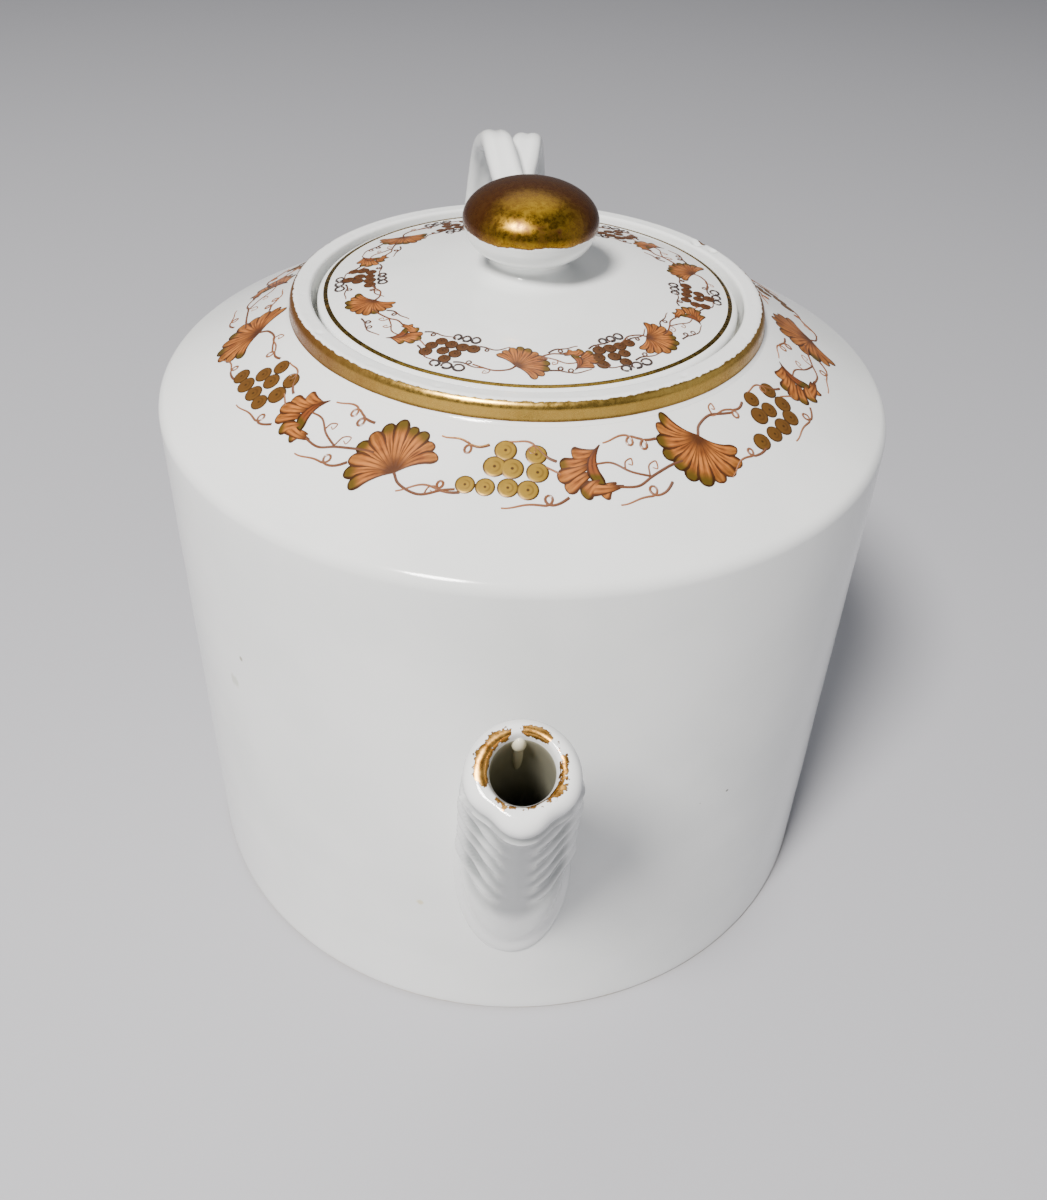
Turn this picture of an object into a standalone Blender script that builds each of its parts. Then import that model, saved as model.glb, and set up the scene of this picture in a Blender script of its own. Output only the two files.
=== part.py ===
"""Porcelain drum teapot: the clay pieces a potter luted together, and the lid that lifts off.

The origin is the centre of the flat unglazed base, +Z is up, the spout points to -Y and the
handle stands at +Y. Blender units are metres; MM turns the named sizes from millimetres.
"""

import math

import bmesh
import bpy
from mathutils import Matrix, Vector

MM = 0.001

# Driving sizes
BASE_RADIUS = 58.0 * MM
SHOULDER_RADIUS = 56.0 * MM
SHOULDER_HEIGHT = 90.0 * MM
WALL = 3.6 * MM
BASE_THICKNESS = 4.0 * MM
FOOT_ROUNDING = 0.8 * MM
LUTE_GAP = 0.3 * MM          # left between pieces that touch
SEAM_HEIGHT = 86.0 * MM      # wall and shoulder meet here
SHOULDER_ROUNDING = 2.4 * MM
SHOULDER_RISE = 10.9 * MM    # from the corner up to the collar
COLLAR_RADIUS = 35.5 * MM
COLLAR_BORE = 32.2 * MM
COLLAR_BOTTOM = 96.4 * MM
RIM_HEIGHT = 103.7 * MM
SEAT_BORE = 25.5 * MM
SEAT_TOP = 99.4 * MM
SEAT_THICKNESS = 3.0 * MM

LID_RADIUS = 31.4 * MM
LID_EDGE_HEIGHT = 102.9 * MM
LID_DOME_RISE = 3.1 * MM
LID_HOLLOW_RADIUS = 20.4 * MM
LID_CEILING = 102.7 * MM
LID_CEILING_RUN = 4.0 * MM   # the hollow's wall slopes in by this much
LID_CEILING_DROP = 0.6 * MM
# The lid's rounded edge: (inwards from the rim, below the edge height), from the top down
LID_EDGE_ROUNDING = ((1.0 * MM, -0.19 * MM), (0.2 * MM, 0.4 * MM), (0.0, 1.2 * MM))
LID_LOWER_CHAMFER = 0.4 * MM
FLANGE_RADIUS = 24.6 * MM
FLANGE_WALL = 3.2 * MM
FLANGE_BOTTOM = 90.5 * MM
FLANGE_TAPER = 0.5 * MM
STEM_FOOT_RADIUS = 8.6 * MM
STEM_WAIST_RADIUS = 5.4 * MM
STEM_TOP = 108.6 * MM
STEM_NECK = 0.6 * MM         # straight piece at the top of the stem
STEM_FOOT_EDGE = 0.3 * MM
KNOB_RADIUS = 9.9 * MM
KNOB_HALF_HEIGHT = 5.4 * MM
KNOB_CENTRE_HEIGHT = 113.7 * MM

SPOUT_ROOT = Vector((0, -57.0, 39.5)) * MM
SPOUT_TIP = Vector((0, -81.5, 87.0)) * MM
SPOUT_ROOT_RADII = (7.8 * MM, 9.4 * MM)   # across, and in the plane of the handle
SPOUT_LIP_RADIUS = 6.3 * MM
SPOUT_BORE_ROOT = 5.2 * MM
SPOUT_BORE_TIP = 3.5 * MM
SPOUT_RUN_IN = 9.0 * MM      # drawn inside the wall, then cut away by it
LIP_LENGTH = 2.2 * MM        # the straight collar of the lip
LIP_BEVEL = 0.8 * MM         # the bore opens by this much at the mouth
LIP_BEVEL_DEPTH = 1.2 * MM
LIP_CROWN = 0.2 * MM
LIP_TOP_INSET = 1.4 * MM
LIP_EDGE_INSET = 0.3 * MM
LIP_EDGE_DROP = 0.7 * MM
STRAINER_HOLE_RADIUS = 1.7 * MM
STRAINER_PITCH = 4.6 * MM
STRAINER_RING = 6            # holes round the middle one

STRAP_WIDTH = 6.0 * MM
STRAP_THICKNESS = 4.0 * MM
STRAP_CROSSING_LIFT = 2.45 * MM
STRAP_RUN_IN = 7.0 * MM      # drawn on into the leaf, then cut away by it
STRAP_CORNER = 1.4 * MM
# The side view of the handle: (distance from the pot's axis, height), top to bottom.
HANDLE_LINE = ((60.6, 78.5), (70.0, 91.0), (82.5, 97.2), (93.5, 92.5), (99.5, 80.0),
               (99.0, 64.0), (91.0, 47.0), (78.5, 34.0), (61.4, 26.0))
# Sideways place of one strap along the handle, from 0 at the top end to 1 at the bottom end.
STRAP_SWAY = ((0.0, 8.0), (0.13, 0.0), (0.28, -3.3), (0.42, -6.0), (0.57, -7.6), (0.72, -5.0),
              (0.87, 0.0), (1.0, 8.0))
CROSSINGS = (0.155, 0.87)
CROSSING_REACH = (0.085, 0.21)            # fully lifted within the first, level past the second
HANDLE_SKEW = math.radians(2.5)           # the handle was luted on slightly askew

LEAF_LENGTH = 22.0 * MM
LEAF_WIDTH = 13.0 * MM
LEAF_THICKNESS = 2.0 * MM
LEAF_UPPER_HEIGHT = 73.0 * MM
LEAF_LOWER_HEIGHT = 23.5 * MM
LEAF_SPREAD = 8.0 * MM
LEAF_TILT = math.radians(25)
LEAF_EDGE = 0.3 * MM
LEAF_ENDS_SHARE = 0.04       # of the length, left off at each pointed end
LEAF_OUTLINE_POWER = 0.7     # lower is blunter
LEAF_CROWN_POWER = 0.5
LEAF_EDGE_FALL = 0.8         # share of the crown lost from the middle to the edge

CUTTER_REACH = 0.93          # share of the drum's height that the trimming cutter covers

ROUND_STEPS = 64
SMALL_STEPS = 28
HOLE_STEPS = 12
STRAP_RINGS = 40
LEAF_ROWS = 8
LEAF_COLUMNS = 6
KNOB_RINGS = 10
MERGE_DISTANCE = 0.01 * MM
SHARP_ANGLE = math.radians(35)

# Linear colour, metallic, roughness of each finish
GLAZED_WHITE = ((0.78, 0.80, 0.78), 0.0, 0.12)
INNER_WHITE = ((0.70, 0.71, 0.68), 0.0, 0.2)
BISCUIT = ((0.62, 0.58, 0.50), 0.0, 0.8)
GILT = ((0.56, 0.36, 0.10), 1.0, 0.3)


def clear_scene():
    """Removes every object that the file opened with."""
    for obj in list(bpy.data.objects):
        bpy.data.objects.remove(obj, do_unlink=True)


def make_material(name, finish):
    """A Principled material of the finish's colour, metallic and roughness."""
    colour, metallic, roughness = finish
    material = bpy.data.materials.new(name)
    material.use_nodes = True
    shader = material.node_tree.nodes["Principled BSDF"]
    shader.inputs["Base Color"].default_value = (*colour, 1.0)
    shader.inputs["Metallic"].default_value = metallic
    shader.inputs["Roughness"].default_value = roughness
    material.diffuse_color = (*colour, 1.0)
    return material


def add_object(name, mesh, finish, parent=None):
    """Links a mesh to the scene as a named piece with its own material."""
    obj = bpy.data.objects.new(name, mesh)
    bpy.context.scene.collection.objects.link(obj)
    if finish is not None:
        mesh.materials.append(make_material(name + "_finish", finish))
    if parent is not None:
        obj.parent = parent
    return obj


def shade_round(mesh):
    """Smooth shading that keeps the true corners sharp."""
    mesh.shade_smooth()
    mesh.set_sharp_from_angle(angle=SHARP_ANGLE)


def turned(name, profile, finish, steps=ROUND_STEPS, closed=True, parent=None):
    """A piece turned on the wheel: the profile's (radius, height) points go round the Z axis.

    A profile of a ring is closed. One that starts and ends on the axis is open.
    """
    bm = bmesh.new()
    points = [bm.verts.new((radius, 0.0, height)) for radius, height in profile]
    pairs = zip(points, points[1:] + points[:1] if closed else points[1:])
    edges = [bm.edges.new(pair) for pair in pairs]
    bmesh.ops.spin(bm, geom=points + edges, cent=(0, 0, 0), axis=(0, 0, 1),
                   angle=math.tau, steps=steps, use_merge=True)
    bmesh.ops.remove_doubles(bm, verts=bm.verts, dist=MERGE_DISTANCE)
    bmesh.ops.recalc_face_normals(bm, faces=bm.faces)
    mesh = bpy.data.meshes.new(name)
    bm.to_mesh(mesh)
    bm.free()
    shade_round(mesh)
    return add_object(name, mesh, finish, parent)


def arc(centre, radius, start, end, steps):
    """Points of an arc in the (radius, height) plane, angles in degrees, both ends included."""
    angles = [math.radians(start + (end - start) * i / steps) for i in range(steps + 1)]
    return [(centre[0] + radius * math.cos(a), centre[1] + radius * math.sin(a)) for a in angles]


def lofted(name, rings, finish, capped=True):
    """A piece skinned over rings of points that all have the same count.

    Its ends are capped, or else the last ring is joined to the first.
    """
    bm = bmesh.new()
    loops = [[bm.verts.new(point) for point in ring] for ring in rings]
    followers = loops[1:] if capped else loops[1:] + loops[:1]
    for low, high in zip(loops, followers):
        for i in range(len(low)):
            j = (i + 1) % len(low)
            bm.faces.new((low[i], low[j], high[j], high[i]))
    if capped:
        bm.faces.new(loops[0])
        bm.faces.new(loops[-1])
    bmesh.ops.recalc_face_normals(bm, faces=bm.faces)
    mesh = bpy.data.meshes.new(name)
    bm.to_mesh(mesh)
    bm.free()
    shade_round(mesh)
    return add_object(name, mesh, finish)


def cut(obj, cutter):
    """Subtracts a hidden cutter from the piece."""
    cutter.hide_render = True
    cutter.display_type = "WIRE"
    boolean = obj.modifiers.new("cut_by_" + cutter.name, "BOOLEAN")
    boolean.operation = "DIFFERENCE"
    boolean.solver = "EXACT"
    boolean.object = cutter


def wall_radius(height):
    """Outer radius of the slightly tapered drum at a height."""
    return BASE_RADIUS + (SHOULDER_RADIUS - BASE_RADIUS) * height / SHOULDER_HEIGHT


def shoulder_height(radius):
    """Height of the shoulder's outer slope at a radius."""
    slope = SHOULDER_RISE / (SHOULDER_RADIUS - COLLAR_RADIUS)
    return SHOULDER_HEIGHT + (SHOULDER_RADIUS - radius) * slope


def lid_height(radius):
    """Height of the lid's domed top at a radius."""
    return LID_EDGE_HEIGHT + LID_DOME_RISE * (1 - (radius / LID_RADIUS) ** 2)


def smooth_value(knots, at):
    """Smooth curve through (place, value) knots, by cubic Hermite spans."""
    places = [place for place, _ in knots]
    values = [value for _, value in knots]
    last = len(knots) - 2
    span = next((i for i in range(last) if at <= places[i + 1]), last)

    def slope(i):
        a, b = max(i - 1, 0), min(i + 1, len(knots) - 1)
        return (values[b] - values[a]) / (places[b] - places[a])

    width = places[span + 1] - places[span]
    u = (at - places[span]) / width
    return (values[span] * (1 + 2 * u) * (1 - u) ** 2 + slope(span) * width * u * (1 - u) ** 2
            + values[span + 1] * u * u * (3 - 2 * u) + slope(span + 1) * width * u * u * (u - 1))


# The pot

def make_body_wall():
    """The drum: a tube open at both ends, with strainer holes behind the spout."""
    top = wall_radius(SEAM_HEIGHT)
    profile = [(top, SEAM_HEIGHT), (BASE_RADIUS, FOOT_ROUNDING),
               (BASE_RADIUS - FOOT_ROUNDING, 0), (BASE_RADIUS - WALL, 0),
               (top - WALL, SEAM_HEIGHT)]
    wall = turned("body_wall", profile, GLAZED_WHITE)
    bm = bmesh.new()
    turns = [math.tau * i / STRAINER_RING for i in range(STRAINER_RING)]
    spots = [(0, 0)] + [(math.cos(turn), math.sin(turn)) for turn in turns]
    for across, up in spots:
        place = Matrix.Translation((across * STRAINER_PITCH, -BASE_RADIUS + WALL / 2,
                                    SPOUT_ROOT.z + up * STRAINER_PITCH))
        bmesh.ops.create_cone(bm, cap_ends=True, segments=HOLE_STEPS,
                              radius1=STRAINER_HOLE_RADIUS,
                              radius2=STRAINER_HOLE_RADIUS, depth=4 * WALL,
                              matrix=place @ Matrix.Rotation(math.pi / 2, 4, "X"))
    mesh = bpy.data.meshes.new("strainer_holes")
    bm.to_mesh(mesh)
    bm.free()
    cut(wall, add_object("strainer_holes", mesh, None))


def make_base_plate():
    """The flat unglazed disc that closes the drum."""
    radius = BASE_RADIUS - WALL - LUTE_GAP
    turned("base_plate", [(0, BASE_THICKNESS), (radius, BASE_THICKNESS), (radius, 0), (0, 0)],
           BISCUIT, closed=False)


def make_shoulder():
    """The sloping shoulder with its small rounded corner."""
    slope = math.degrees(math.atan(SHOULDER_RISE / (SHOULDER_RADIUS - COLLAR_RADIUS)))
    half_turn = math.radians(90 - slope) / 2
    setback = SHOULDER_ROUNDING * math.tan(half_turn)
    centre = (SHOULDER_RADIUS - SHOULDER_ROUNDING, SHOULDER_HEIGHT - setback)
    low = SEAM_HEIGHT + LUTE_GAP
    hole = COLLAR_RADIUS + LUTE_GAP
    drop = WALL / math.cos(math.radians(slope))
    inner_corner = wall_radius(low) - WALL
    profile = [(hole, shoulder_height(hole))]
    profile += arc(centre, SHOULDER_ROUNDING, 90 - slope, 0, 5)
    profile += [(wall_radius(low), low), (inner_corner, low),
                (inner_corner, shoulder_height(inner_corner) - drop),
                (hole, shoulder_height(hole) - drop)]
    turned("shoulder", profile, GLAZED_WHITE)


def make_collar():
    """The short upright neck that keeps the lid in place; its outside is gilded."""
    top_half = (COLLAR_RADIUS - COLLAR_BORE) / 2
    lip = arc((COLLAR_BORE + top_half, RIM_HEIGHT - top_half), top_half, 0, 180, 8)
    turned("collar", lip + [(COLLAR_BORE, COLLAR_BOTTOM), (COLLAR_RADIUS, COLLAR_BOTTOM)], GILT)


def make_seat_ring():
    """The inner ledge that carries the lid."""
    outer = COLLAR_BORE - LUTE_GAP
    low = SEAT_TOP - SEAT_THICKNESS
    turned("seat_ring", [(outer, SEAT_TOP), (outer, low), (SEAT_BORE, low),
                         (SEAT_BORE, SEAT_TOP)], INNER_WHITE)


def make_drum_cutter():
    """A hidden solid of the drum that trims what is luted to its wall."""
    reach = CUTTER_REACH * SHOULDER_HEIGHT
    shape = [(0, reach), (wall_radius(reach) + LUTE_GAP, reach), (BASE_RADIUS + LUTE_GAP, 0),
             (0, 0)]
    cutter = turned("drum_cutter", shape, None, closed=False, steps=2 * ROUND_STEPS)
    cutter.hide_render = True
    cutter.display_type = "WIRE"


def make_spout():
    """The straight moulded spout, hollow right through, trimmed to sit on the drum."""
    axis = (SPOUT_TIP - SPOUT_ROOT).normalized()
    across = Vector((1, 0, 0))
    upward = across.cross(axis)
    length = (SPOUT_TIP - SPOUT_ROOT).length

    def ring(along, radii):
        centre = SPOUT_ROOT + axis * along
        turns = [math.tau * i / SMALL_STEPS for i in range(SMALL_STEPS)]
        return [centre + across * radii[0] * math.cos(a) + upward * radii[1] * math.sin(a)
                for a in turns]

    def outer_radii(along):
        share = along / length
        return [root + (SPOUT_LIP_RADIUS - root) * share for root in SPOUT_ROOT_RADII]

    def bore_radii(along):
        radius = SPOUT_BORE_ROOT + (SPOUT_BORE_TIP - SPOUT_BORE_ROOT) * along / length
        return [radius, radius]

    rings = [ring(along, bore_radii(along))
             for along in (-SPOUT_RUN_IN, 0.5 * length, length - LIP_BEVEL_DEPTH)]
    rings.append(ring(length, [SPOUT_BORE_TIP + LIP_BEVEL] * 2))
    rings.append(ring(length + LIP_CROWN, [SPOUT_LIP_RADIUS - LIP_TOP_INSET] * 2))
    rings.append(ring(length - LIP_EDGE_DROP, [SPOUT_LIP_RADIUS - LIP_EDGE_INSET] * 2))
    rings.append(ring(length - LIP_LENGTH, [SPOUT_LIP_RADIUS] * 2))
    neck = length - 2 * LIP_LENGTH
    rings.append(ring(neck, outer_radii(neck)))
    rings += [ring(along, outer_radii(along)) for along in (0.5 * length, -SPOUT_RUN_IN)]
    spout = lofted("spout", rings, GLAZED_WHITE, capped=False)
    cut(spout, bpy.data.objects["drum_cutter"])


# The handle

def handle_frames(count):
    """Evenly spread (share, centre, normal) along the handle's line, normal pointing outwards."""
    knots = [(i / (len(HANDLE_LINE) - 1), y, z) for i, (y, z) in enumerate(HANDLE_LINE)]
    out_knots = [(share, y) for share, y, _ in knots]
    up_knots = [(share, z) for share, _, z in knots]
    fine = 400
    line = [Vector((0, smooth_value(out_knots, i / fine), smooth_value(up_knots, i / fine)))
            for i in range(fine + 1)]
    lengths = [0.0]
    for a, b in zip(line, line[1:]):
        lengths.append(lengths[-1] + (b - a).length)
    frames = []
    for step in range(count):
        goal = lengths[-1] * step / (count - 1)
        i = min(next(k for k, run in enumerate(lengths) if run >= goal - 1e-9), fine - 1)
        tangent = (line[min(i + 1, fine)] - line[max(i - 1, 0)]).normalized()
        frames.append((step / (count - 1), line[i] * MM, Vector((0, -tangent.z, tangent.y))))
    return frames


def crossing_lift(share):
    """How far one strap stands over the other: up at the top crossing, under at the bottom."""
    full, level = CROSSING_REACH
    lift = 0.0
    for sign, crossing in zip((1, -1), CROSSINGS):
        off = abs(share - crossing)
        fade = min(max((level - off) / (level - full), 0), 1)
        lift += sign * STRAP_CROSSING_LIFT * fade * fade * (3 - 2 * fade)
    return lift


def strap_line(side):
    """The strap's own centre line: the handle's line, swayed sideways and lifted at crossings."""
    line = []
    for share, centre, normal in handle_frames(STRAP_RINGS):
        sideways = side * smooth_value(STRAP_SWAY, share) * MM
        line.append(centre + Vector((sideways, 0, 0)) + normal * side * crossing_lift(share))
    start = line[0] + (line[0] - line[1]).normalized() * STRAP_RUN_IN
    end = line[-1] + (line[-1] - line[-2]).normalized() * STRAP_RUN_IN
    return [start] + line + [end]


def make_strap(name, side, leaf_cutters):
    """One strap of the double handle; side is 1 or -1, and the two straps are entwined."""
    half_width, half_thick = STRAP_WIDTH / 2, STRAP_THICKNESS / 2
    section = []
    for sign_x, sign_n, start in ((1, 1, 0), (-1, 1, 90), (-1, -1, 180), (1, -1, 270)):
        centre = (sign_x * (half_width - STRAP_CORNER), sign_n * (half_thick - STRAP_CORNER))
        section += arc(centre, STRAP_CORNER, start, start + 90, 2)
    line = strap_line(side)
    rings = []
    for i, middle in enumerate(line):
        tangent = (line[min(i + 1, len(line) - 1)] - line[max(i - 1, 0)]).normalized()
        across = (Vector((1, 0, 0)) - tangent * tangent.x).normalized()
        normal = tangent.cross(across)
        rings.append([middle + across * x + normal * n for x, n in section])
    strap = lofted(name, rings, GLAZED_WHITE)
    strap.rotation_euler.z = HANDLE_SKEW
    for cutter in leaf_cutters:
        cut(strap, cutter)


def make_leaf(name, side, height, tilt, finish=GLAZED_WHITE, grow=0.0, depth_in=0.0):
    """A leaf-shaped pad on the drum, which carries a strap's end; its back follows the wall.

    grow swells the front and outline, and depth_in carries the back into the drum, for a cutter.
    """
    rise = math.cos(tilt)
    swing = math.sin(tilt) * side

    def place(along, across, depth):
        x = side * LEAF_SPREAD + along * swing + across * rise
        z = height + along * rise - across * swing
        radius = wall_radius(z) + LUTE_GAP + depth
        turn = x / wall_radius(z)
        return Vector((radius * math.sin(turn), radius * math.cos(turn), z))

    rings = []
    sides = [-1 + 2 * k / LEAF_COLUMNS for k in range(LEAF_COLUMNS + 1)]
    for i in range(LEAF_ROWS + 1):
        share = LEAF_ENDS_SHARE + (1 - 2 * LEAF_ENDS_SHARE) * i / LEAF_ROWS
        along = (share - 0.5) * (LEAF_LENGTH + 2 * grow)
        bulge = math.sin(math.pi * share)
        half = grow + LEAF_WIDTH / 2 * bulge ** LEAF_OUTLINE_POWER
        crown = LEAF_THICKNESS * bulge ** LEAF_CROWN_POWER
        front = []
        for across in sides:
            depth = LEAF_EDGE + grow + crown * (1 - LEAF_EDGE_FALL * across * across)
            front.append(place(along, across * half, depth))
        back = [place(along, -across * half, -depth_in) for across in sides]
        rings.append(front + back)
    leaf = lofted(name, rings, finish)
    leaf.rotation_euler.z = HANDLE_SKEW
    return leaf


def make_handle():
    """Two entwined straps and the four leaves that their ends stand on."""
    drum = bpy.data.objects["drum_cutter"]
    cutters = {"right": [drum], "left": [drum]}
    for end, height, tilt in (("upper", LEAF_UPPER_HEIGHT, LEAF_TILT),
                              ("lower", LEAF_LOWER_HEIGHT, math.pi - LEAF_TILT)):
        for hand, side in (("left", -1), ("right", 1)):
            make_leaf(f"leaf_{end}_{hand}", side, height, tilt)
            cutters[hand].append(make_leaf(f"leaf_cutter_{end}_{hand}", side, height, tilt,
                                           finish=None, grow=LUTE_GAP, depth_in=2 * WALL))
    make_strap("handle_strap_right", 1, cutters["right"])
    make_strap("handle_strap_left", -1, cutters["left"])


# The lid

def make_lid(lift):
    """The lid's four pieces: plate, locating flange, stem and knob."""
    rim = LID_RADIUS
    rest = SEAT_TOP + LUTE_GAP
    crown = [(rim * i / 8, lid_height(rim * i / 8)) for i in range(8)]
    edge = [(rim - inset, LID_EDGE_HEIGHT - drop) for inset, drop in LID_EDGE_ROUNDING]
    plate = crown + edge + [(rim, rest + LID_LOWER_CHAMFER), (rim - LID_LOWER_CHAMFER, rest),
                            (LID_HOLLOW_RADIUS, rest),
                            (LID_HOLLOW_RADIUS - LID_CEILING_RUN, LID_CEILING - LID_CEILING_DROP),
                            (0, LID_CEILING)]
    turned("lid_plate", plate, GLAZED_WHITE, closed=False, parent=lift)

    top = rest - LUTE_GAP
    inner = FLANGE_RADIUS - FLANGE_WALL
    turned("lid_flange", [(FLANGE_RADIUS, top), (FLANGE_RADIUS - FLANGE_TAPER, FLANGE_BOTTOM),
                          (inner, FLANGE_BOTTOM), (inner, top)], INNER_WHITE, parent=lift)

    foot = [(STEM_FOOT_RADIUS * i / 4, lid_height(STEM_FOOT_RADIUS * i / 4) + LUTE_GAP)
            for i in range(5)]
    fillet = STEM_FOOT_RADIUS - STEM_WAIST_RADIUS
    flare = []
    base = foot[-1][1] + STEM_FOOT_EDGE
    for i in range(5):
        turn = math.radians(90 * i / 4)
        flare.append((STEM_WAIST_RADIUS + fillet * (1 - math.sin(turn)),
                      base + (STEM_TOP - STEM_NECK - base) * (1 - math.cos(turn))))
    turned("knob_stem", foot + flare + [(STEM_WAIST_RADIUS, STEM_TOP), (0, STEM_TOP)],
           GLAZED_WHITE, steps=SMALL_STEPS, closed=False, parent=lift)

    flat = STEM_TOP + LUTE_GAP
    lowest = math.degrees(math.asin((flat - KNOB_CENTRE_HEIGHT) / KNOB_HALF_HEIGHT))
    knob = [(0, flat)]
    for i in range(KNOB_RINGS + 1):
        turn = math.radians(lowest + (90 - lowest) * i / KNOB_RINGS)
        knob.append((KNOB_RADIUS * math.cos(turn),
                     KNOB_CENTRE_HEIGHT + KNOB_HALF_HEIGHT * math.sin(turn)))
    knob[-1] = (0, KNOB_CENTRE_HEIGHT + KNOB_HALF_HEIGHT)
    turned("knob", knob, GILT, steps=SMALL_STEPS, closed=False, parent=lift)


def main():
    clear_scene()
    make_body_wall()
    make_base_plate()
    make_shoulder()
    make_collar()
    make_seat_ring()
    make_drum_cutter()
    make_spout()
    make_handle()
    lift = bpy.data.objects.new("lid_lift_axis", None)
    bpy.context.scene.collection.objects.link(lift)
    make_lid(lift)


main()
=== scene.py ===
"""Looks of the porcelain drum teapot: glazed body, gilt collar and knob, painted vine borders.

Everything is in metres in the pot's own frame: the origin is the centre of the flat base, +Z is
up, the spout points to -Y and the handle stands at +Y. MM turns named sizes from millimetres.
Angles round the pot are measured from the front, positive towards +X.
"""

from __future__ import annotations

import logging
import math
import random
from contextlib import contextmanager
from dataclasses import dataclass, field
from enum import Enum
from functools import partial
from typing import Callable, Iterator, Sequence

import bmesh
import bpy
from mathutils import Matrix, Vector, noise

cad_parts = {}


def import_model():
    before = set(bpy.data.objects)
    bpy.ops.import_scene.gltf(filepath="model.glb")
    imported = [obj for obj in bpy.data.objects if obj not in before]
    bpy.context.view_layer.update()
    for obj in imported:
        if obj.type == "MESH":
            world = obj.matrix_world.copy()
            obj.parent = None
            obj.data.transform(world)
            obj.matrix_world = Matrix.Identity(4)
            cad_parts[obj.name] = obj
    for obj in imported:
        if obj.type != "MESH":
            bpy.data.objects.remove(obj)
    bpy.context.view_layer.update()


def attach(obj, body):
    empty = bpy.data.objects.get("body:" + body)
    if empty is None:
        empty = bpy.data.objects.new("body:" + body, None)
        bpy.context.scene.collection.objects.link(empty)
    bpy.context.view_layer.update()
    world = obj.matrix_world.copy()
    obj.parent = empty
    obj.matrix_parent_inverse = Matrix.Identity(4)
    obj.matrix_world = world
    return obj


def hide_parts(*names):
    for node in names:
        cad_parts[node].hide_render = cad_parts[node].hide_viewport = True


LOG = logging.getLogger("teapot")
MM = 0.001
RING_SPACING = 9.0 * MM                  # height of one finger ring
AROUND = 256                             # steps round the wheel for a large turned form
SHARP_ANGLE = math.radians(42)
MERGE = 0.004 * MM                       # points this close are one point

MATH = "ShaderNodeMath"
VECTOR_MATH = "ShaderNodeVectorMath"
RANGE = "ShaderNodeMapRange"
NOISE = "ShaderNodeTexNoise"
CELLS = "ShaderNodeTexVoronoi"
MIX = "ShaderNodeMix"
BUMP = "ShaderNodeBump"
SPLIT = "ShaderNodeSeparateXYZ"
STORED = "ShaderNodeAttribute"
READ = "GeometryNodeInputNamedAttribute"
GUIDE = "GeometryNodeObjectInfo"
MOVE = "GeometryNodeSetPosition"
COLOUR = {"data_type": "RGBA", "out": 2}             # for a mix of two colours
SMOOTH = {"interpolation_type": "SMOOTHSTEP"}
MULTIPLY_ADD = {"operation": "MULTIPLY_ADD"}
MULTIPLY = {"operation": "MULTIPLY"}
HIGHER = {"operation": "MAXIMUM"}
GAP = {"out": "Value", "operation": "DISTANCE"}

Pair = tuple[float, float]
Piece = bpy.types.Object
Tree = bpy.types.NodeTree
Coat = bpy.types.Material
Socket = bpy.types.NodeSocket
Face = bpy.types.MeshPolygon
Adder = Callable[..., Socket]


class Body(Enum):
    """The two bodies of the pot's frame."""

    POT = "pot"
    LID = "lid"


# Small shared tools


def linear(hex_colour: str) -> tuple[float, float, float, float]:
    """Turns an sRGB hex colour into linear RGBA.

    Args:
        hex_colour: six hex digits with a leading hash.

    Returns:
        The linear colour, with alpha 1.
    """
    parts = [int(hex_colour[i:i + 2], 16) / 255 for i in (1, 3, 5)]
    flat = [p / 12.92 if p <= 0.04045 else ((p + 0.055) / 1.055) ** 2.4 for p in parts]
    return (flat[0], flat[1], flat[2], 1.0)


def feed(node: bpy.types.Node, inputs: dict | Sequence) -> None:
    """Feeds a node's inputs.

    Args:
        node: the node.
        inputs: for each input, by name or in order, a fixed value, a hex colour or a socket.
    """
    for key, value in (inputs.items() if isinstance(inputs, dict) else enumerate(inputs)):
        if isinstance(value, Socket):
            node.id_data.links.new(value, node.inputs[key])
        elif isinstance(value, str) and value.startswith("#"):
            node.inputs[key].default_value = linear(value)
        else:
            node.inputs[key].default_value = value


def add_node(tree: Tree, kind: str, inputs: dict | Sequence = (),
             out: int | str = 0, **settings: object) -> Socket | None:
    """Adds a node with its settings, fixed values and links.

    Args:
        tree: the node tree that takes the node.
        kind: the node's Blender type name.
        inputs: what feed gives to its inputs.
        out: name or number of the output to return.
        settings: properties of the node itself.

    Returns:
        The output, or nothing from a node that has none.
    """
    node = tree.nodes.new(kind)
    for name, value in settings.items():
        setattr(node, name, value)
    feed(node, inputs)
    return node.outputs[out] if node.outputs else None


def arc(centre: Pair, radius: float, start: float, end: float, steps: int) -> list[Pair]:
    """Points of an arc in a flat plane.

    Args:
        centre: the arc's centre.
        radius: its radius.
        start: first angle in degrees.
        end: last angle in degrees.
        steps: how many spans it has.

    Returns:
        The points, both ends included.
    """
    turns = [math.radians(start + (end - start) * i / steps) for i in range(steps + 1)]
    return [(centre[0] + radius * math.cos(a), centre[1] + radius * math.sin(a)) for a in turns]


def straight(start: Pair, end: Pair, steps: int) -> list[Pair]:
    """Evenly spaced points from start up to, but without, end."""
    return [(start[0] + (end[0] - start[0]) * i / steps, start[1] + (end[1] - start[1]) * i / steps)
            for i in range(steps)]


def ease(value: float, low: float, high: float) -> float:
    """Smooth step from 0 at low to 1 at high."""
    share = min(max((value - low) / (high - low), 0.0), 1.0)
    return share * share * (3 - 2 * share)


def bell(value: float, middle: float, spread: float) -> float:
    """A smooth hump of height 1 round a middle value."""
    return math.exp(-((value - middle) / spread) ** 2)


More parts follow.
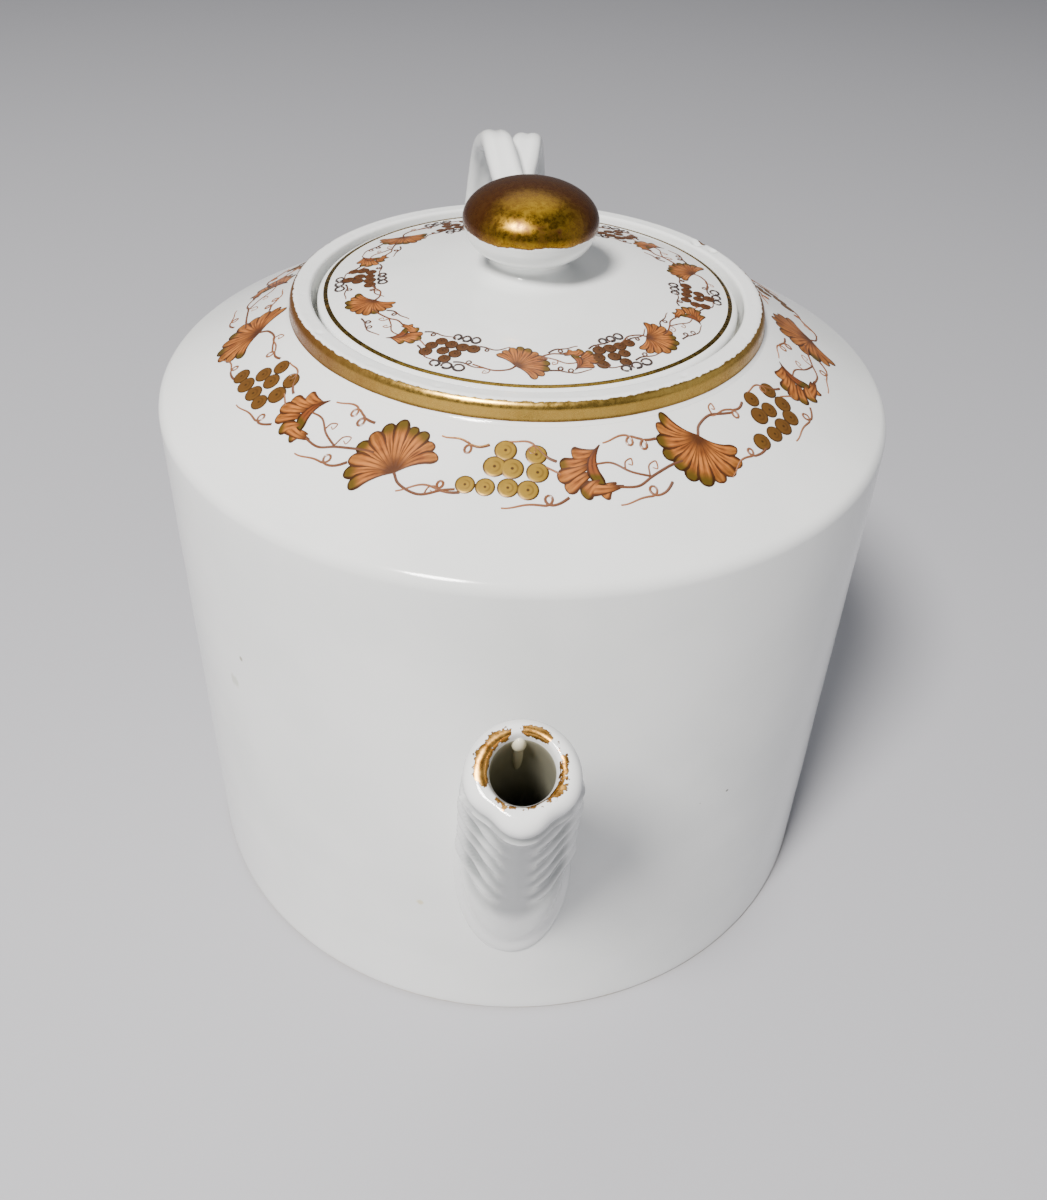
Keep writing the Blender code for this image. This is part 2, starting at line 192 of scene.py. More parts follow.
def smooth_value(knots: Sequence[Pair], at: float) -> float:
    """Reads a smooth curve through knots, by cubic Hermite spans.

    Args:
        knots: (place, value) pairs with rising places.
        at: the place to read.

    Returns:
        The curve's value there.
    """
    last = len(knots) - 2
    span = next((i for i in range(last) if at <= knots[i + 1][0]), last)

    def slope(i: int) -> float:
        """Slope of the curve at knot i."""
        a, b = max(i - 1, 0), min(i + 1, len(knots) - 1)
        return (knots[b][1] - knots[a][1]) / (knots[b][0] - knots[a][0])

    width = knots[span + 1][0] - knots[span][0]
    u = (at - knots[span][0]) / width
    return (knots[span][1] * (1 + 2 * u) * (1 - u) ** 2 + slope(span) * width * u * (1 - u) ** 2
            + knots[span + 1][1] * u * u * (3 - 2 * u) + slope(span + 1) * width * u * u * (u - 1))


def smooth_path(points: Sequence[Pair], spans: int) -> list[Pair]:
    """A smooth flat path through points, with so many spans between two of them."""
    across, up = ([(float(i), p[axis]) for i, p in enumerate(points)] for axis in (0, 1))
    return [(smooth_value(across, i / spans), smooth_value(up, i / spans))
            for i in range(spans * (len(points) - 1) + 1)]


@contextmanager
def editing(mesh: bpy.types.Mesh) -> Iterator[bmesh.types.BMesh]:
    """Opens a mesh for editing and writes it back at the end.

    Args:
        mesh: the mesh.

    Yields:
        The mesh, open for editing.
    """
    bm = bmesh.new()
    bm.from_mesh(mesh)
    yield bm
    bm.to_mesh(mesh)
    bm.free()


def link(name: str, mesh: bpy.types.Mesh) -> Piece:
    """Puts a mesh in the scene as a named object at the origin.

    Args:
        name: the object's name.
        mesh: its mesh.

    Returns:
        The object.
    """
    obj = bpy.data.objects.new(name, mesh)
    bpy.context.scene.collection.objects.link(obj)
    return obj


def line_object(name: str, points: Sequence[Sequence[float]], closed: bool = False,
                breaks: Sequence[int] = ()) -> Piece:
    """A guide made of points joined by edges, which a node tree reads.

    Args:
        name: the guide's name.
        points: its points, in order.
        closed: whether the last point joins the first.
        breaks: numbers of the points that start a new line.

    Returns:
        The guide object.
    """
    skip = set(breaks)
    edges = [(i, i + 1) for i in range(len(points) - 1) if i + 1 not in skip]
    if closed:
        edges.append((len(points) - 1, 0))
    mesh = bpy.data.meshes.new(name)
    mesh.from_pydata([tuple(p) for p in points], edges, [])
    return link(name, mesh)


def set_attribute(mesh: bpy.types.Mesh, name: str, kind: str, values: Sequence) -> None:
    """Stores a point attribute, FLOAT or FLOAT_VECTOR, on a mesh.

    Args:
        mesh: the mesh.
        name: the attribute's name.
        kind: its data type.
        values: one value for each point.
    """
    attribute = mesh.attributes.new(name, kind, "POINT")
    flat = values if kind == "FLOAT" else [part for value in values for part in value]
    attribute.data.foreach_set("value" if kind == "FLOAT" else "vector", flat)


def skin(name: str, rings: Sequence[Sequence[Vector]], closed: bool,
         material: Coat) -> Piece:
    """A closed piece skinned over rings of points with equal counts.

    Args:
        name: the piece's name.
        rings: its rings, in order along the piece.
        closed: whether the last ring joins the first; otherwise both ends are capped.
        material: the finish it takes.

    Returns:
        The new object, with its faces pointing outwards.
    """
    mesh = bpy.data.meshes.new(name)
    with editing(mesh) as bm:
        loops = [[bm.verts.new(point) for point in ring] for ring in rings]
        for low, high in zip(loops, loops[1:] + (loops[:1] if closed else [])):
            for i in range(len(low)):
                j = (i + 1) % len(low)
                bm.faces.new((low[i], low[j], high[j], high[i]))
        if not closed:
            bm.faces.new(loops[0])
            bm.faces.new(loops[-1])
        bmesh.ops.recalc_face_normals(bm, faces=bm.faces)
    mesh.shade_smooth()
    mesh.set_sharp_from_angle(angle=SHARP_ANGLE)
    mesh.materials.append(material)
    return link(name, mesh)


def face_outwards(obj: Piece) -> Piece:
    """Points a closed mesh's faces outwards and marks its true corners sharp.

    Args:
        obj: the object.

    Returns:
        The same object.
    """
    with editing(obj.data) as bm:
        bmesh.ops.recalc_face_normals(bm, faces=bm.faces)
    obj.data.set_sharp_from_angle(angle=SHARP_ANGLE)
    return obj


# Geometry Nodes groups


def new_group(name: str, inputs: dict[str, str]
              ) -> tuple[Tree, Adder, bpy.types.NodeOutputs]:
    """Starts a geometry node group with named inputs.

    Args:
        name: the group's name.
        inputs: name of each input to its socket kind, such as Float or Object.

    Returns:
        The group, what adds a node to it, and its inputs as sockets to link from.
    """
    tree = bpy.data.node_groups.new(name, "GeometryNodeTree")
    for way in ("OUTPUT", "INPUT"):
        tree.interface.new_socket("Geometry", in_out=way, socket_type="NodeSocketGeometry")
    for label, kind in inputs.items():
        tree.interface.new_socket(label, in_out="INPUT", socket_type="NodeSocket" + kind)
    return tree, partial(add_node, tree), tree.nodes.new("NodeGroupInput").outputs


def end_group(add: Adder, shape: Socket, finish: Socket) -> None:
    """Ends a group: smooth shading, Realize Instances, then Set Material.

    Args:
        add: the node adder.
        shape: the finished geometry.
        finish: the material it takes.
    """
    smooth = add("GeometryNodeSetShadeSmooth", {"Geometry": shape})
    real = add("GeometryNodeRealizeInstances", {"Geometry": smooth})
    dressed = add("GeometryNodeSetMaterial", {"Geometry": real, "Material": finish})
    add("NodeGroupOutput", {"Geometry": dressed})


def run_group(tree: Tree, name: str, values: dict[str, object],
              *guides: Piece) -> Piece:
    """Runs a group once and keeps its result as a plain mesh.

    Args:
        tree: the geometry node group.
        name: the name of the piece that comes out.
        values: input name to its value.
        guides: helper objects that are removed afterwards.

    Returns:
        The piece, with no modifier left on it.
    """
    host = link(name, bpy.data.meshes.new(name + "_host"))
    modifier = host.modifiers.new("shape", "NODES")
    modifier.node_group = tree
    names = {item.name: item.identifier for item in tree.interface.items_tree
             if item.in_out == "INPUT"}
    for label, value in values.items():
        modifier[names[label]] = value
    bpy.context.view_layer.update()
    graph = bpy.context.evaluated_depsgraph_get()
    mesh = bpy.data.meshes.new_from_object(host.evaluated_get(graph))
    host.modifiers.remove(modifier)
    host.data = mesh
    mesh.name = name
    for guide in guides:
        bpy.data.objects.remove(guide)
    return host


def sampled(add: Adder, source: Socket, attribute: str, index: Socket) -> Socket:
    """Reads a vector of a guide's point; an empty attribute name reads its position.

    Args:
        add: the node adder.
        source: the guide's geometry.
        attribute: name of the vector, or empty.
        index: the point's number.

    Returns:
        The vector.
    """
    vector = {"data_type": "FLOAT_VECTOR"}
    if attribute:
        value = add(READ, {"Name": attribute}, **vector)
    else:
        value = add("GeometryNodeInputPosition")
    return add("GeometryNodeSampleIndex", {"Geometry": source, "Value": value, "Index": index},
               domain="POINT", **vector)


def grid_over(add: Adder, columns: Socket, rows: Socket) -> tuple[Socket, Socket, Socket]:
    """A unit grid with its place read back, for wrapping into a surface.

    Args:
        add: the node adder.
        columns: number of vertices along X.
        rows: number of vertices along Y.

    Returns:
        The mesh, the share along X from 0 to 1, and the share along Y from 0 to 1.
    """
    grid = add("GeometryNodeMeshGrid",
               {"Size X": 1.0, "Size Y": 1.0, "Vertices X": columns, "Vertices Y": rows})
    parts = add(SPLIT, [add("GeometryNodeInputPosition")]).node.outputs
    return grid, *(add(MATH, (parts[i], 0.5), operation="ADD") for i in (0, 1))


def whole_number(add: Adder, share: Socket, count: Socket) -> Socket:
    """The point number that a share from 0 to 1 stands for, out of count points."""
    last = add(MATH, (count, 1.0), operation="SUBTRACT")
    return add(MATH, [add(MATH, (share, last), **MULTIPLY)], operation="ROUND")


def turning_group() -> Tree:
    """The wheel: turns an outline about Z, with the slight unevenness of a thrown wall.

    Returns:
        The group.
    """
    tree, add, given = new_group("turned_on_the_wheel", {
        "Outline": "Object", "Steps": "Int", "Unevenness": "Float", "Ring Spacing": "Float",
        "Merge": "Float", "Finish": "Material"})
    shape = add(GUIDE, {"Object": given["Outline"]}, out="Geometry")
    count = add("GeometryNodeAttributeDomainSize", [shape])
    columns = add(MATH, (given["Steps"], 1.0), operation="ADD")
    mesh, around, along = grid_over(add, columns, count)
    point = sampled(add, shape, "", whole_number(add, along, count))
    turn = add(MATH, (around, math.tau, math.pi / 2), **MULTIPLY_ADD)
    turned = add("ShaderNodeVectorRotate", {"Vector": point, "Angle": turn},
                 rotation_type="Z_AXIS")
    placed = add(MOVE, {"Geometry": mesh, "Position": turned})
    merged = add("GeometryNodeMergeByDistance",
                 {"Geometry": placed, "Distance": given["Merge"]})
    # Finger rings: long waves round the pot, 12 to the metre, and short ones up the wall.
    parts = add(SPLIT, [add("GeometryNodeInputPosition")]).node.outputs
    wide = [add(MATH, (parts[i], 12.0), **MULTIPLY) for i in (0, 1)]
    rings = add(MATH, (parts[2], given["Ring Spacing"]), operation="DIVIDE")
    where = add("ShaderNodeCombineXYZ", (*wide, rings))
    wave = add(NOISE, {"Vector": where, "Scale": 1.0, "Detail": 1.5})
    swing = add(MATH, (wave, 0.5), operation="SUBTRACT")
    reach = add(MATH, (swing, given["Unevenness"]), **MULTIPLY)
    push = add(VECTOR_MATH, {0: add("GeometryNodeInputNormal"), "Scale": reach},
               operation="SCALE")
    end_group(add, add(MOVE, {"Geometry": merged, "Offset": push}), given["Finish"])
    return tree


def strap_group() -> Tree:
    """Draws a section along a strap's line, square to the line's own two directions.

    Returns:
        The group.
    """
    tree, add, given = new_group("section_along_a_line", {
        "Line": "Object", "Section": "Object", "Merge": "Float", "Finish": "Material"})
    line, section = (add(GUIDE, {"Object": given[name]}, out="Geometry")
                     for name in ("Line", "Section"))
    rows, sides = (add("GeometryNodeAttributeDomainSize", [shape]) for shape in (line, section))
    columns = add(MATH, (sides, 1.0), operation="ADD")
    mesh, around, along = grid_over(add, columns, rows)
    row = whole_number(add, along, rows)
    column = add(MATH, (whole_number(add, around, columns), sides), operation="FLOORED_MODULO")
    flat = add(SPLIT, [sampled(add, section, "", column)]).node.outputs
    spot = sampled(add, line, "", row)
    for part, attribute in zip(flat, ("across", "facing")):
        step = add(VECTOR_MATH, {0: sampled(add, line, attribute, row), "Scale": part},
                   operation="SCALE")
        spot = add(VECTOR_MATH, (spot, step), operation="ADD")
    placed = add(MOVE, {"Geometry": mesh, "Position": spot})
    merged = add("GeometryNodeMergeByDistance",
                 {"Geometry": placed, "Distance": given["Merge"]})
    end_group(add, merged, given["Finish"])
    return tree


def thread_group() -> Tree:
    """Paint strokes: a round bead along each line, as wide as the line's width attribute.

    Returns:
        The group.
    """
    tree, add, given = new_group("painted_strokes", {
        "Lines": "Object", "Sides": "Int", "Finish": "Material"})
    lines = add(GUIDE, {"Object": given["Lines"]}, out="Geometry")
    curves = add("GeometryNodeMeshToCurve", {"Mesh": lines})
    bead = add("GeometryNodeCurvePrimitiveCircle",
               {"Resolution": given["Sides"], "Radius": 0.5}, out="Curve")
    width = add(READ, {"Name": "width"}, data_type="FLOAT")
    swept = add("GeometryNodeCurveToMesh",
                {"Curve": curves, "Profile Curve": bead, "Scale": width, "Fill Caps": True})
    end_group(add, swept, given["Finish"])
    return tree


def scatter_group() -> Tree:
    """Sets one small form on each point of a guide, square to the surface under it.

    Returns:
        The group.
    """
    tree, add, given = new_group("set_on_points", {
        "Places": "Object", "Form": "Object", "Finish": "Material"})
    places, form = (add(GUIDE, {"Object": given[name]}, out="Geometry")
                    for name in ("Places", "Form"))
    facing = add(READ, {"Name": "facing"}, data_type="FLOAT_VECTOR")
    size = add(READ, {"Name": "size"}, data_type="FLOAT")
    tilt = add("FunctionNodeAlignRotationToVector", {"Vector": facing}, axis="Z")
    scale = add("ShaderNodeCombineXYZ", (size, size, 1.0))
    placed = add("GeometryNodeInstanceOnPoints",
                 {"Points": places, "Instance": form, "Rotation": tilt, "Scale": scale})
    end_group(add, placed, given["Finish"])
    return tree


@dataclass
class Workshop:
    """The node groups, each made once and shared by the pieces."""

    wheel: Tree = field(default_factory=turning_group)
    straps: Tree = field(default_factory=strap_group)
    strokes: Tree = field(default_factory=thread_group)
    scatter: Tree = field(default_factory=scatter_group)

    def turn(self, name: str, outline: Sequence[Pair], material: Coat,
             steps: int = AROUND, unevenness: float = 0.0) -> Piece:
        """Turns an outline into a closed piece, with finger rings 9 mm high.

        Args:
            name: the piece's name.
            outline: (radius, height) points, from axis to axis or closed on itself.
            material: its finish.
            steps: steps round the axis.
            unevenness: depth of the finger rings, crest to hollow.

        Returns:
            The piece.
        """
        guide = line_object(name + "_outline", [(r, 0.0, z) for r, z in outline])
        return face_outwards(run_group(self.wheel, name, {
            "Outline": guide, "Steps": steps, "Unevenness": unevenness,
            "Ring Spacing": RING_SPACING, "Merge": MERGE, "Finish": material}, guide))


# The finishes


class Finish:
    """A procedural material; each finish says what feeds its surface."""

    name: str

    def surface(self, add: Adder, place: Socket) -> dict[str, object]:
        """What feeds each input of the surface, from a node adder and Object coordinates."""
        raise NotImplementedError

    def build(self) -> Coat:
        """Makes the material.

        Returns:
            The material, whose surface is fed by surface().
        """
        material = bpy.data.materials.new(self.name)
        material.use_nodes = True
        add = partial(add_node, material.node_tree)
        place = add("ShaderNodeTexCoord", out="Object")
        feed(material.node_tree.nodes["Principled BSDF"], self.surface(add, place))
        return material


@dataclass(frozen=True)
class GlazedPorcelain(Finish):
    """Hard-paste porcelain under a clear feldspar glaze, fired glossy.

    To the eye: a cool, faintly green white, mirror gloss softened by a fine orange peel, a hint
    of depth, and the odd iron speck.
    """

    name: str = "hard_paste_porcelain_clear_glazed"
    colour: str = "#EBECEB"
    pooled: str = "#E3E5E4"
    roughness: float = 0.09
    foot_bare_to: float = -1.0           # height below which the foot is wiped bare
    spots: tuple = ()                    # (place, radius, colour) of single blemishes

    def surface(self, add: Adder, place: Socket) -> dict[str, object]:
        """Clouded white with specks and blemishes, and a bare foot where it is asked for.

        Args:
            add: the node adder.
            place: the Object coordinates.

        Returns:
            What feeds each input of the surface.
        """
        cloud = add(NOISE, {"Vector": place, "Scale": 1 / (22 * MM), "Detail": 3.0})
        drift = add(RANGE, (cloud, 0.35, 0.75), **SMOOTH)
        tint = add(MIX, {0: drift, 6: self.colour, 7: self.pooled}, **COLOUR)
        # Iron specks about 0.25 mm wide, some 12 mm apart.
        cells = add(CELLS, {"Vector": place, "Scale": 1 / (12 * MM)}, out="Distance")
        speck = add(RANGE, (cells, 0.008, 0.016, 0.55, 0.0))
        tint = add(MIX, {0: speck, 6: tint, 7: "#6B5F4C"}, **COLOUR)
        for spot, radius, colour in self.spots:
            gap = add(VECTOR_MATH, (place, spot), **GAP)
            ragged = add(NOISE, {"Vector": place, "Scale": 1 / (0.9 * MM), "Detail": 2.0})
            reach = add(MATH, (ragged, radius, gap), **MULTIPLY_ADD)
            mark = add(RANGE, (reach, 0.9 * radius, 1.6 * radius, 0.8, 0.0), **SMOOTH)
            tint = add(MIX, {0: mark, 6: tint, 7: colour}, **COLOUR)
        gloss = add(RANGE, (cloud, 0.3, 0.7, self.roughness, self.roughness + 0.05))
        if self.foot_bare_to > 0:
            height = add(SPLIT, [place], out=2)
            edge = add(NOISE, {"Vector": place, "Scale": 1 / (5 * MM), "Detail": 2.0})
            wavy = add(MATH, (edge, 0.7 * MM, height), **MULTIPLY_ADD)
            top = self.foot_bare_to
            bare = add(RANGE, (wavy, top, top + 0.15 * MM, 1.0, 0.0))
            tint = add(MIX, {0: bare, 6: tint, 7: "#CDBFA6"}, **COLOUR)
            gloss = add(MIX, {0: bare, 2: gloss, 3: 0.75})
        # Orange peel about 1.6 mm across.
        peel = add(NOISE, {"Vector": place, "Scale": 1 / (1.6 * MM), "Detail": 1.0})
        bump = add(BUMP, {"Strength": 0.35, "Distance": 0.012 * MM, "Height": peel})
        return {"Base Color": tint, "Roughness": gloss, "Normal": bump, "IOR": 1.52,
                "Subsurface Weight": 0.12, "Subsurface Radius": (1.0, 0.9, 0.8),
                "Subsurface Scale": 0.8 * MM}


@dataclass(frozen=True)
class BareBiscuit(Finish):
    """Unglazed porcelain biscuit, wiped and scraped on the wheel.

    To the eye: dry warm cream with scraping rings, kiln grit and rust flashing at the edge.
    """

    name: str = "biscuit_porcelain_wheel_scraped"
    edge_radius: float = 54.0 * MM

    def surface(self, add: Adder, place: Socket) -> dict[str, object]:
        """Stained clay with grit, rusty near the edge, in scraping rings 0.9 mm apart.

        Args:
            add: the node adder.
            place: the Object coordinates.

        Returns:
            What feeds each input of the surface.
        """
        flat = add("ShaderNodeMapping", {0: place, "Scale": (1, 1, 0)})
        radius = add(VECTOR_MATH, [flat], out="Value", operation="LENGTH")
        stain = add(NOISE, {"Vector": place, "Scale": 1 / (14 * MM), "Detail": 4.0})
        rusty = add(MATH, (stain, 8 * MM, radius), **MULTIPLY_ADD)
        flash = add(RANGE, (rusty, self.edge_radius - 3 * MM, self.edge_radius + 5 * MM))
        clay = add(MIX, {0: stain, 6: "#E2D9C7", 7: "#CFC3AC"}, **COLOUR)
        clay = add(MIX, {0: flash, 6: clay, 7: "#B98C62"}, **COLOUR)
        grit = add(CELLS, {"Vector": place, "Scale": 1 / (4 * MM)}, out="Distance")
        dots = add(RANGE, (grit, 0.03, 0.06, 0.8, 0.0))
        clay = add(MIX, {0: dots, 6: clay, 7: "#5C4A38"}, **COLOUR)
        ring = add(MATH, (radius, math.tau / (0.9 * MM)), **MULTIPLY)
        ring = add(MATH, [ring], operation="SINE")
        grain = add(NOISE, {"Vector": place, "Scale": 1 / (0.5 * MM), "Detail": 3.0})
        height = add(MATH, (ring, 0.35, grain), **MULTIPLY_ADD)
        bump = add(BUMP, {"Strength": 0.8, "Distance": 0.06 * MM, "Height": height})
        return {"Base Color": clay, "Normal": bump, "Roughness": 0.85, "IOR": 1.5}


class GiltEdge(Enum):
    """How a gilt zone ends on the white glaze."""

    BAND = "between two heights"
    CAP = "above one height"
    WHOLE = "gilt all over"
    PATCHES = "worn to what the gilt attribute says"


@dataclass(frozen=True)
class FiredGold(Finish):
    """Gold painted over the glaze, fired at low heat and burnished, now worn.

    To the eye: a soft warm mirror, olive where thick, reddish brown where rubbed thin, with fine
    brush streaks and a ragged edge where the white glaze shows again. Away from a point on its
    front it is painted browner, as shade.
    """

    name: str
    ending: GiltEdge
    low: float = 0.0
    high: float = 0.0
    waver: float = 0.1 * MM              # how far the edge wanders
    rubbed: float = 0.4                  # share of the gold that is rubbed brown
    grain: float = 1.0                   # strength of the brushed mottling
    deep: str = "#BE9240"
    bright: str = "#E2BC62"
    brown: str = "#7A4A22"
    lit_front_at: tuple[float, float, float] = (0.0, 0.0, 0.0)
    lit_front_within: float = 1.0            # painted shade: farther than this from the front point, the gold is painted brown

    def gilt_share(self, add: Adder, place: Socket) -> tuple[Socket | float, Socket | float]:
        """Where the gold is and where its edge has thinned.

        Args:
            add: the node adder.
            place: the Object coordinates.

        Returns:
            The share of gold, and the share of brown along its edge.
        """
        if self.ending is GiltEdge.WHOLE:
            return 1.0, 0.0
        ragged = add(NOISE, {"Vector": place, "Scale": 1 / (1.1 * MM), "Detail": 4.0,
                             "Roughness": 0.65})
        if self.ending is GiltEdge.PATCHES:
            kept = add(STORED, out="Fac", attribute_name="gilt")
            mixed = add(MATH, (ragged, 1.7, kept), **MULTIPLY_ADD)
            return add(RANGE, (mixed, 1.35, 1.38)), add(RANGE, (mixed, 1.38, 1.5, 1.0, 0.0))
        height = add(SPLIT, [place], out=2)
        long_wave = add(NOISE, {"Vector": place, "Scale": 1 / (7 * MM), "Detail": 2.0})
        both = add(MATH, (ragged, 0.35, long_wave), **MULTIPLY_ADD)
        bent = add(MATH, (both, self.waver, height), **MULTIPLY_ADD)
        share = add(RANGE, (bent, self.low, self.low + 0.05 * MM))
        edge = add(RANGE, (bent, self.low + 0.08 * MM, self.low + 0.3 * MM, 0.8, 0.0))
        if self.ending is GiltEdge.CAP:
            return share, edge
        worn = add(MATH, (ragged, 0.4 * MM, height), **MULTIPLY_ADD)
        below = add(RANGE, (worn, self.high + 0.2 * MM, self.high + 0.25 * MM, 1.0, 0.0))
        return add(MATH, (share, below), **MULTIPLY), edge

    def surface(self, add: Adder, place: Socket) -> dict[str, object]:
        """Mottled gold over the white glaze, browner where thin and, as painted shade, off the front.

        Args:
            add: the node adder.
            place: the Object coordinates.

        Returns:
            What feeds each input of the surface.
        """
        gold, edge = self.gilt_share(add, place)
        cloud = add(NOISE, {"Vector": place, "Scale": 1 / (6 * MM), "Detail": 4.0,
                            "Roughness": 0.6})
        mottle = add(NOISE, {"Vector": place, "Scale": 1 / (0.8 * MM), "Detail": 3.0,
                             "Roughness": 0.7})
        reach = 0.2 / self.grain
        thick = add(RANGE, (mottle, 0.5 - reach, 0.5 + reach))
        metal = add(MIX, {0: thick, 6: self.deep, 7: self.bright}, **COLOUR)
        rub_and_painted_shade = add(MATH, (thick, 0.14 * self.grain, cloud), **MULTIPLY_ADD)
        start = 0.85 - 0.5 * self.rubbed
        rub_and_painted_shade = add(RANGE, (rub_and_painted_shade, start, start + 0.15))
        # Painted shade: the farther from the front point, the browner the gold is painted, where it
        # would reflect the dark surroundings; this joins the real rubbing and the thinned edge.
        gap = add(VECTOR_MATH, (place, self.lit_front_at), **GAP)
        gap = add(MATH, (cloud, 0.8 * self.lit_front_within, gap), **MULTIPLY_ADD)
        painted_shade_off_front = add(RANGE, (gap, 1.2 * self.lit_front_within, 2.1 * self.lit_front_within, 0.0, 0.9))
        rub_and_painted_shade = add(MATH, (add(MATH, (rub_and_painted_shade, painted_shade_off_front), **HIGHER), edge), **HIGHER)
        metal = add(MIX, {0: rub_and_painted_shade, 6: metal, 7: self.brown}, **COLOUR)
        # Painted shade, with some glaze pooling: the white greys where the spout's pool attribute
        # says.
        thickness = add(STORED, out="Fac", attribute_name="pool_and_painted_shade")
        glaze = GlazedPorcelain()
        # The dark grey is painted shade.
        white = add(MIX, {0: thickness, 6: glaze.colour, 7: "#8A8F8D"}, **COLOUR)
        tint = add(MIX, {0: gold, 6: white, 7: metal}, **COLOUR)
        gloss = add(RANGE, (mottle, 0.3, 0.7, 0.2, 0.36))
        gloss = add(MIX, {0: gold, 2: glaze.roughness, 3: gloss})
        shine = add(MATH, (rub_and_painted_shade, -0.35, 1.0), **MULTIPLY_ADD)
        shine = add(MATH, (shine, gold), **MULTIPLY)
        bump = add(BUMP, {"Strength": 0.5, "Distance": 0.02 * MM * self.grain,
                          "Height": mottle})
        return {"Base Color": tint, "Metallic": shine, "Roughness": gloss, "Normal": bump}


@dataclass(frozen=True)
class LeafEnamel(Finish):
    """Iron-red and brown overglaze enamel, painted by brush in lobes, touched with gilding.

    To the eye: a thin satin wash, tan in the middle of each lobe, with a fine dark outline and
    vein, darkest where the lobes meet, and an olive-gold tip on some.
    """

    name: str = "overglaze_enamel_leaf_brushed"
    wash: str = "#B26C30"
    shade: str = "#7E441A"
    fold: str = "#6E3616"
    line: str = "#3A1D0C"
    tip: str = "#665018"

    def surface(self, add: Adder, place: Socket) -> dict[str, object]:
        """Wash, gilt tip and drawn lines, from the Lobe map and the tone attribute.

        Args:
            add: the node adder.
            place: the Object coordinates.

        Returns:
            What feeds each input of the surface.
        """
        lobe = add("ShaderNodeUVMap", uv_map="Lobe")
        along, side = add(SPLIT, [lobe]).node.outputs[:2]
        tone = add(STORED, out="Fac", attribute_name="tone")
        # Brush streaks run along the lobe: eight across its width, long down its length.
        stretched = add("ShaderNodeMapping", {0: lobe, "Scale": (1.5, 4.0, 1.0)})
        streak = add(NOISE, {"Vector": stretched, "Scale": 1.0, "Detail": 2.0})
        # Enamel pooling about 1.8 mm across, a mark of the brush.
        pool_and_painted_shade = add(NOISE, {"Vector": place, "Scale": 1 / (1.8 * MM), "Detail": 2.0})
        depth = add(RANGE, (add(MATH, (streak, pool_and_painted_shade), **MULTIPLY), 0.16, 0.36))
        wash = add(MIX, {0: depth, 6: self.wash, 7: self.shade}, **COLOUR)
        dark_fold = add(RANGE, (tone, 1.0, 2.0, 0.0, 0.8))
        wash = add(MIX, {0: dark_fold, 6: wash, 7: self.fold}, **COLOUR)
        tip_here = add(RANGE, (along, 0.68, 0.9), **SMOOTH)
        gilded = add(MATH, (tip_here, tone), use_clamp=True, **MULTIPLY)
        wash = add(MIX, {0: gilded, 6: wash, 7: self.tip}, **COLOUR)
        root = add(RANGE, (along, 0.1, 0.52, 1.0, 0.0), **SMOOTH)
        off = add(MATH, [side], operation="ABSOLUTE")
        drawn = add(RANGE, (off, 0.55, 0.76), **SMOOTH)
        end = add(RANGE, (along, 0.95, 0.975))
        vein = add(RANGE, (off, 0.06, 0.2, 0.85, 0.0))
        vein = add(MATH, (vein, add(RANGE, (along, 0.55, 0.85, 1.0, 0.0))), **MULTIPLY)
        for other in (end, vein, root):
            drawn = add(MATH, (drawn, other), **HIGHER)
        drawn = add(MATH, (drawn, 0.9), **MULTIPLY)
        tint = add(MIX, {0: drawn, 6: wash, 7: self.line}, **COLOUR)
        return {"Base Color": tint, "Metallic": add(MATH, (gilded, 0.45), **MULTIPLY),
                "Roughness": 0.3, "IOR": 1.55}


@dataclass(frozen=True)
class GrapeGilding(Finish):
    """Thin gilding over brown enamel, dabbed round and ringed with a fine brush.

    To the eye: a dull olive gold disc with a brown outline, a swirl and a dot in its middle; on
    the bunches away from the front point it is painted brown, as shade.
    """

    name: str = "gilding_over_enamel_dabbed_with_painted_shade"
    light: str = "#AE8A2E"
    deep: str = "#80621A"
    line: str = "#4A3010"
    # painted shade: the gilding is painted browner the farther it lies from this point on the front
    lit_front_at: tuple[float, float, float] = (0, -42 * MM, 97 * MM)

    def surface(self, add: Adder, place: Socket) -> dict[str, object]:
        """Clouded gilding and a drawn rim, swirl and dot, from each grape's Round map.

        Args:
            add: the node adder.
            place: the Object coordinates.

        Returns:
            What feeds each input of the surface.
        """
        flat = add("ShaderNodeUVMap", uv_map="Round")
        out = add(VECTOR_MATH, [flat], out="Value", operation="LENGTH")
        cloud = add(NOISE, {"Vector": place, "Scale": 1 / (1.2 * MM), "Detail": 2.0})
        body = add(MIX, {0: cloud, 6: self.light, 7: self.deep}, **COLOUR)
        # Painted shade: 20 to 34 mm from the front point the gilding is painted brown, where it would
        # reflect the dark surroundings.
        gap = add(VECTOR_MATH, (place, self.lit_front_at), **GAP)
        worn = add(RANGE, (gap, 20 * MM, 34 * MM, 0.0, 0.8))
        body = add(MIX, {0: worn, 6: body, 7: "#6B4020"}, **COLOUR)
        rim = add(RANGE, (out, 0.8, 0.92))
        dot = add(RANGE, (out, 0.1, 0.17, 1.0, 0.0))
        coil = add(MATH, [add(MATH, (out, 0.46), operation="SUBTRACT")], operation="ABSOLUTE")
        coil = add(RANGE, (coil, 0.05, 0.12, 0.4, 0.0))
        half = add(RANGE, (add(SPLIT, [flat]), -0.2, 0.2))
        coil = add(MATH, (coil, half), **MULTIPLY)
        drawn = add(MATH, (add(MATH, (rim, dot), **HIGHER), coil), **HIGHER)
        tint = add(MIX, {0: drawn, 6: body, 7: self.line}, **COLOUR)
        return {"Base Color": tint, "Metallic": 0.45, "Roughness": 0.36}


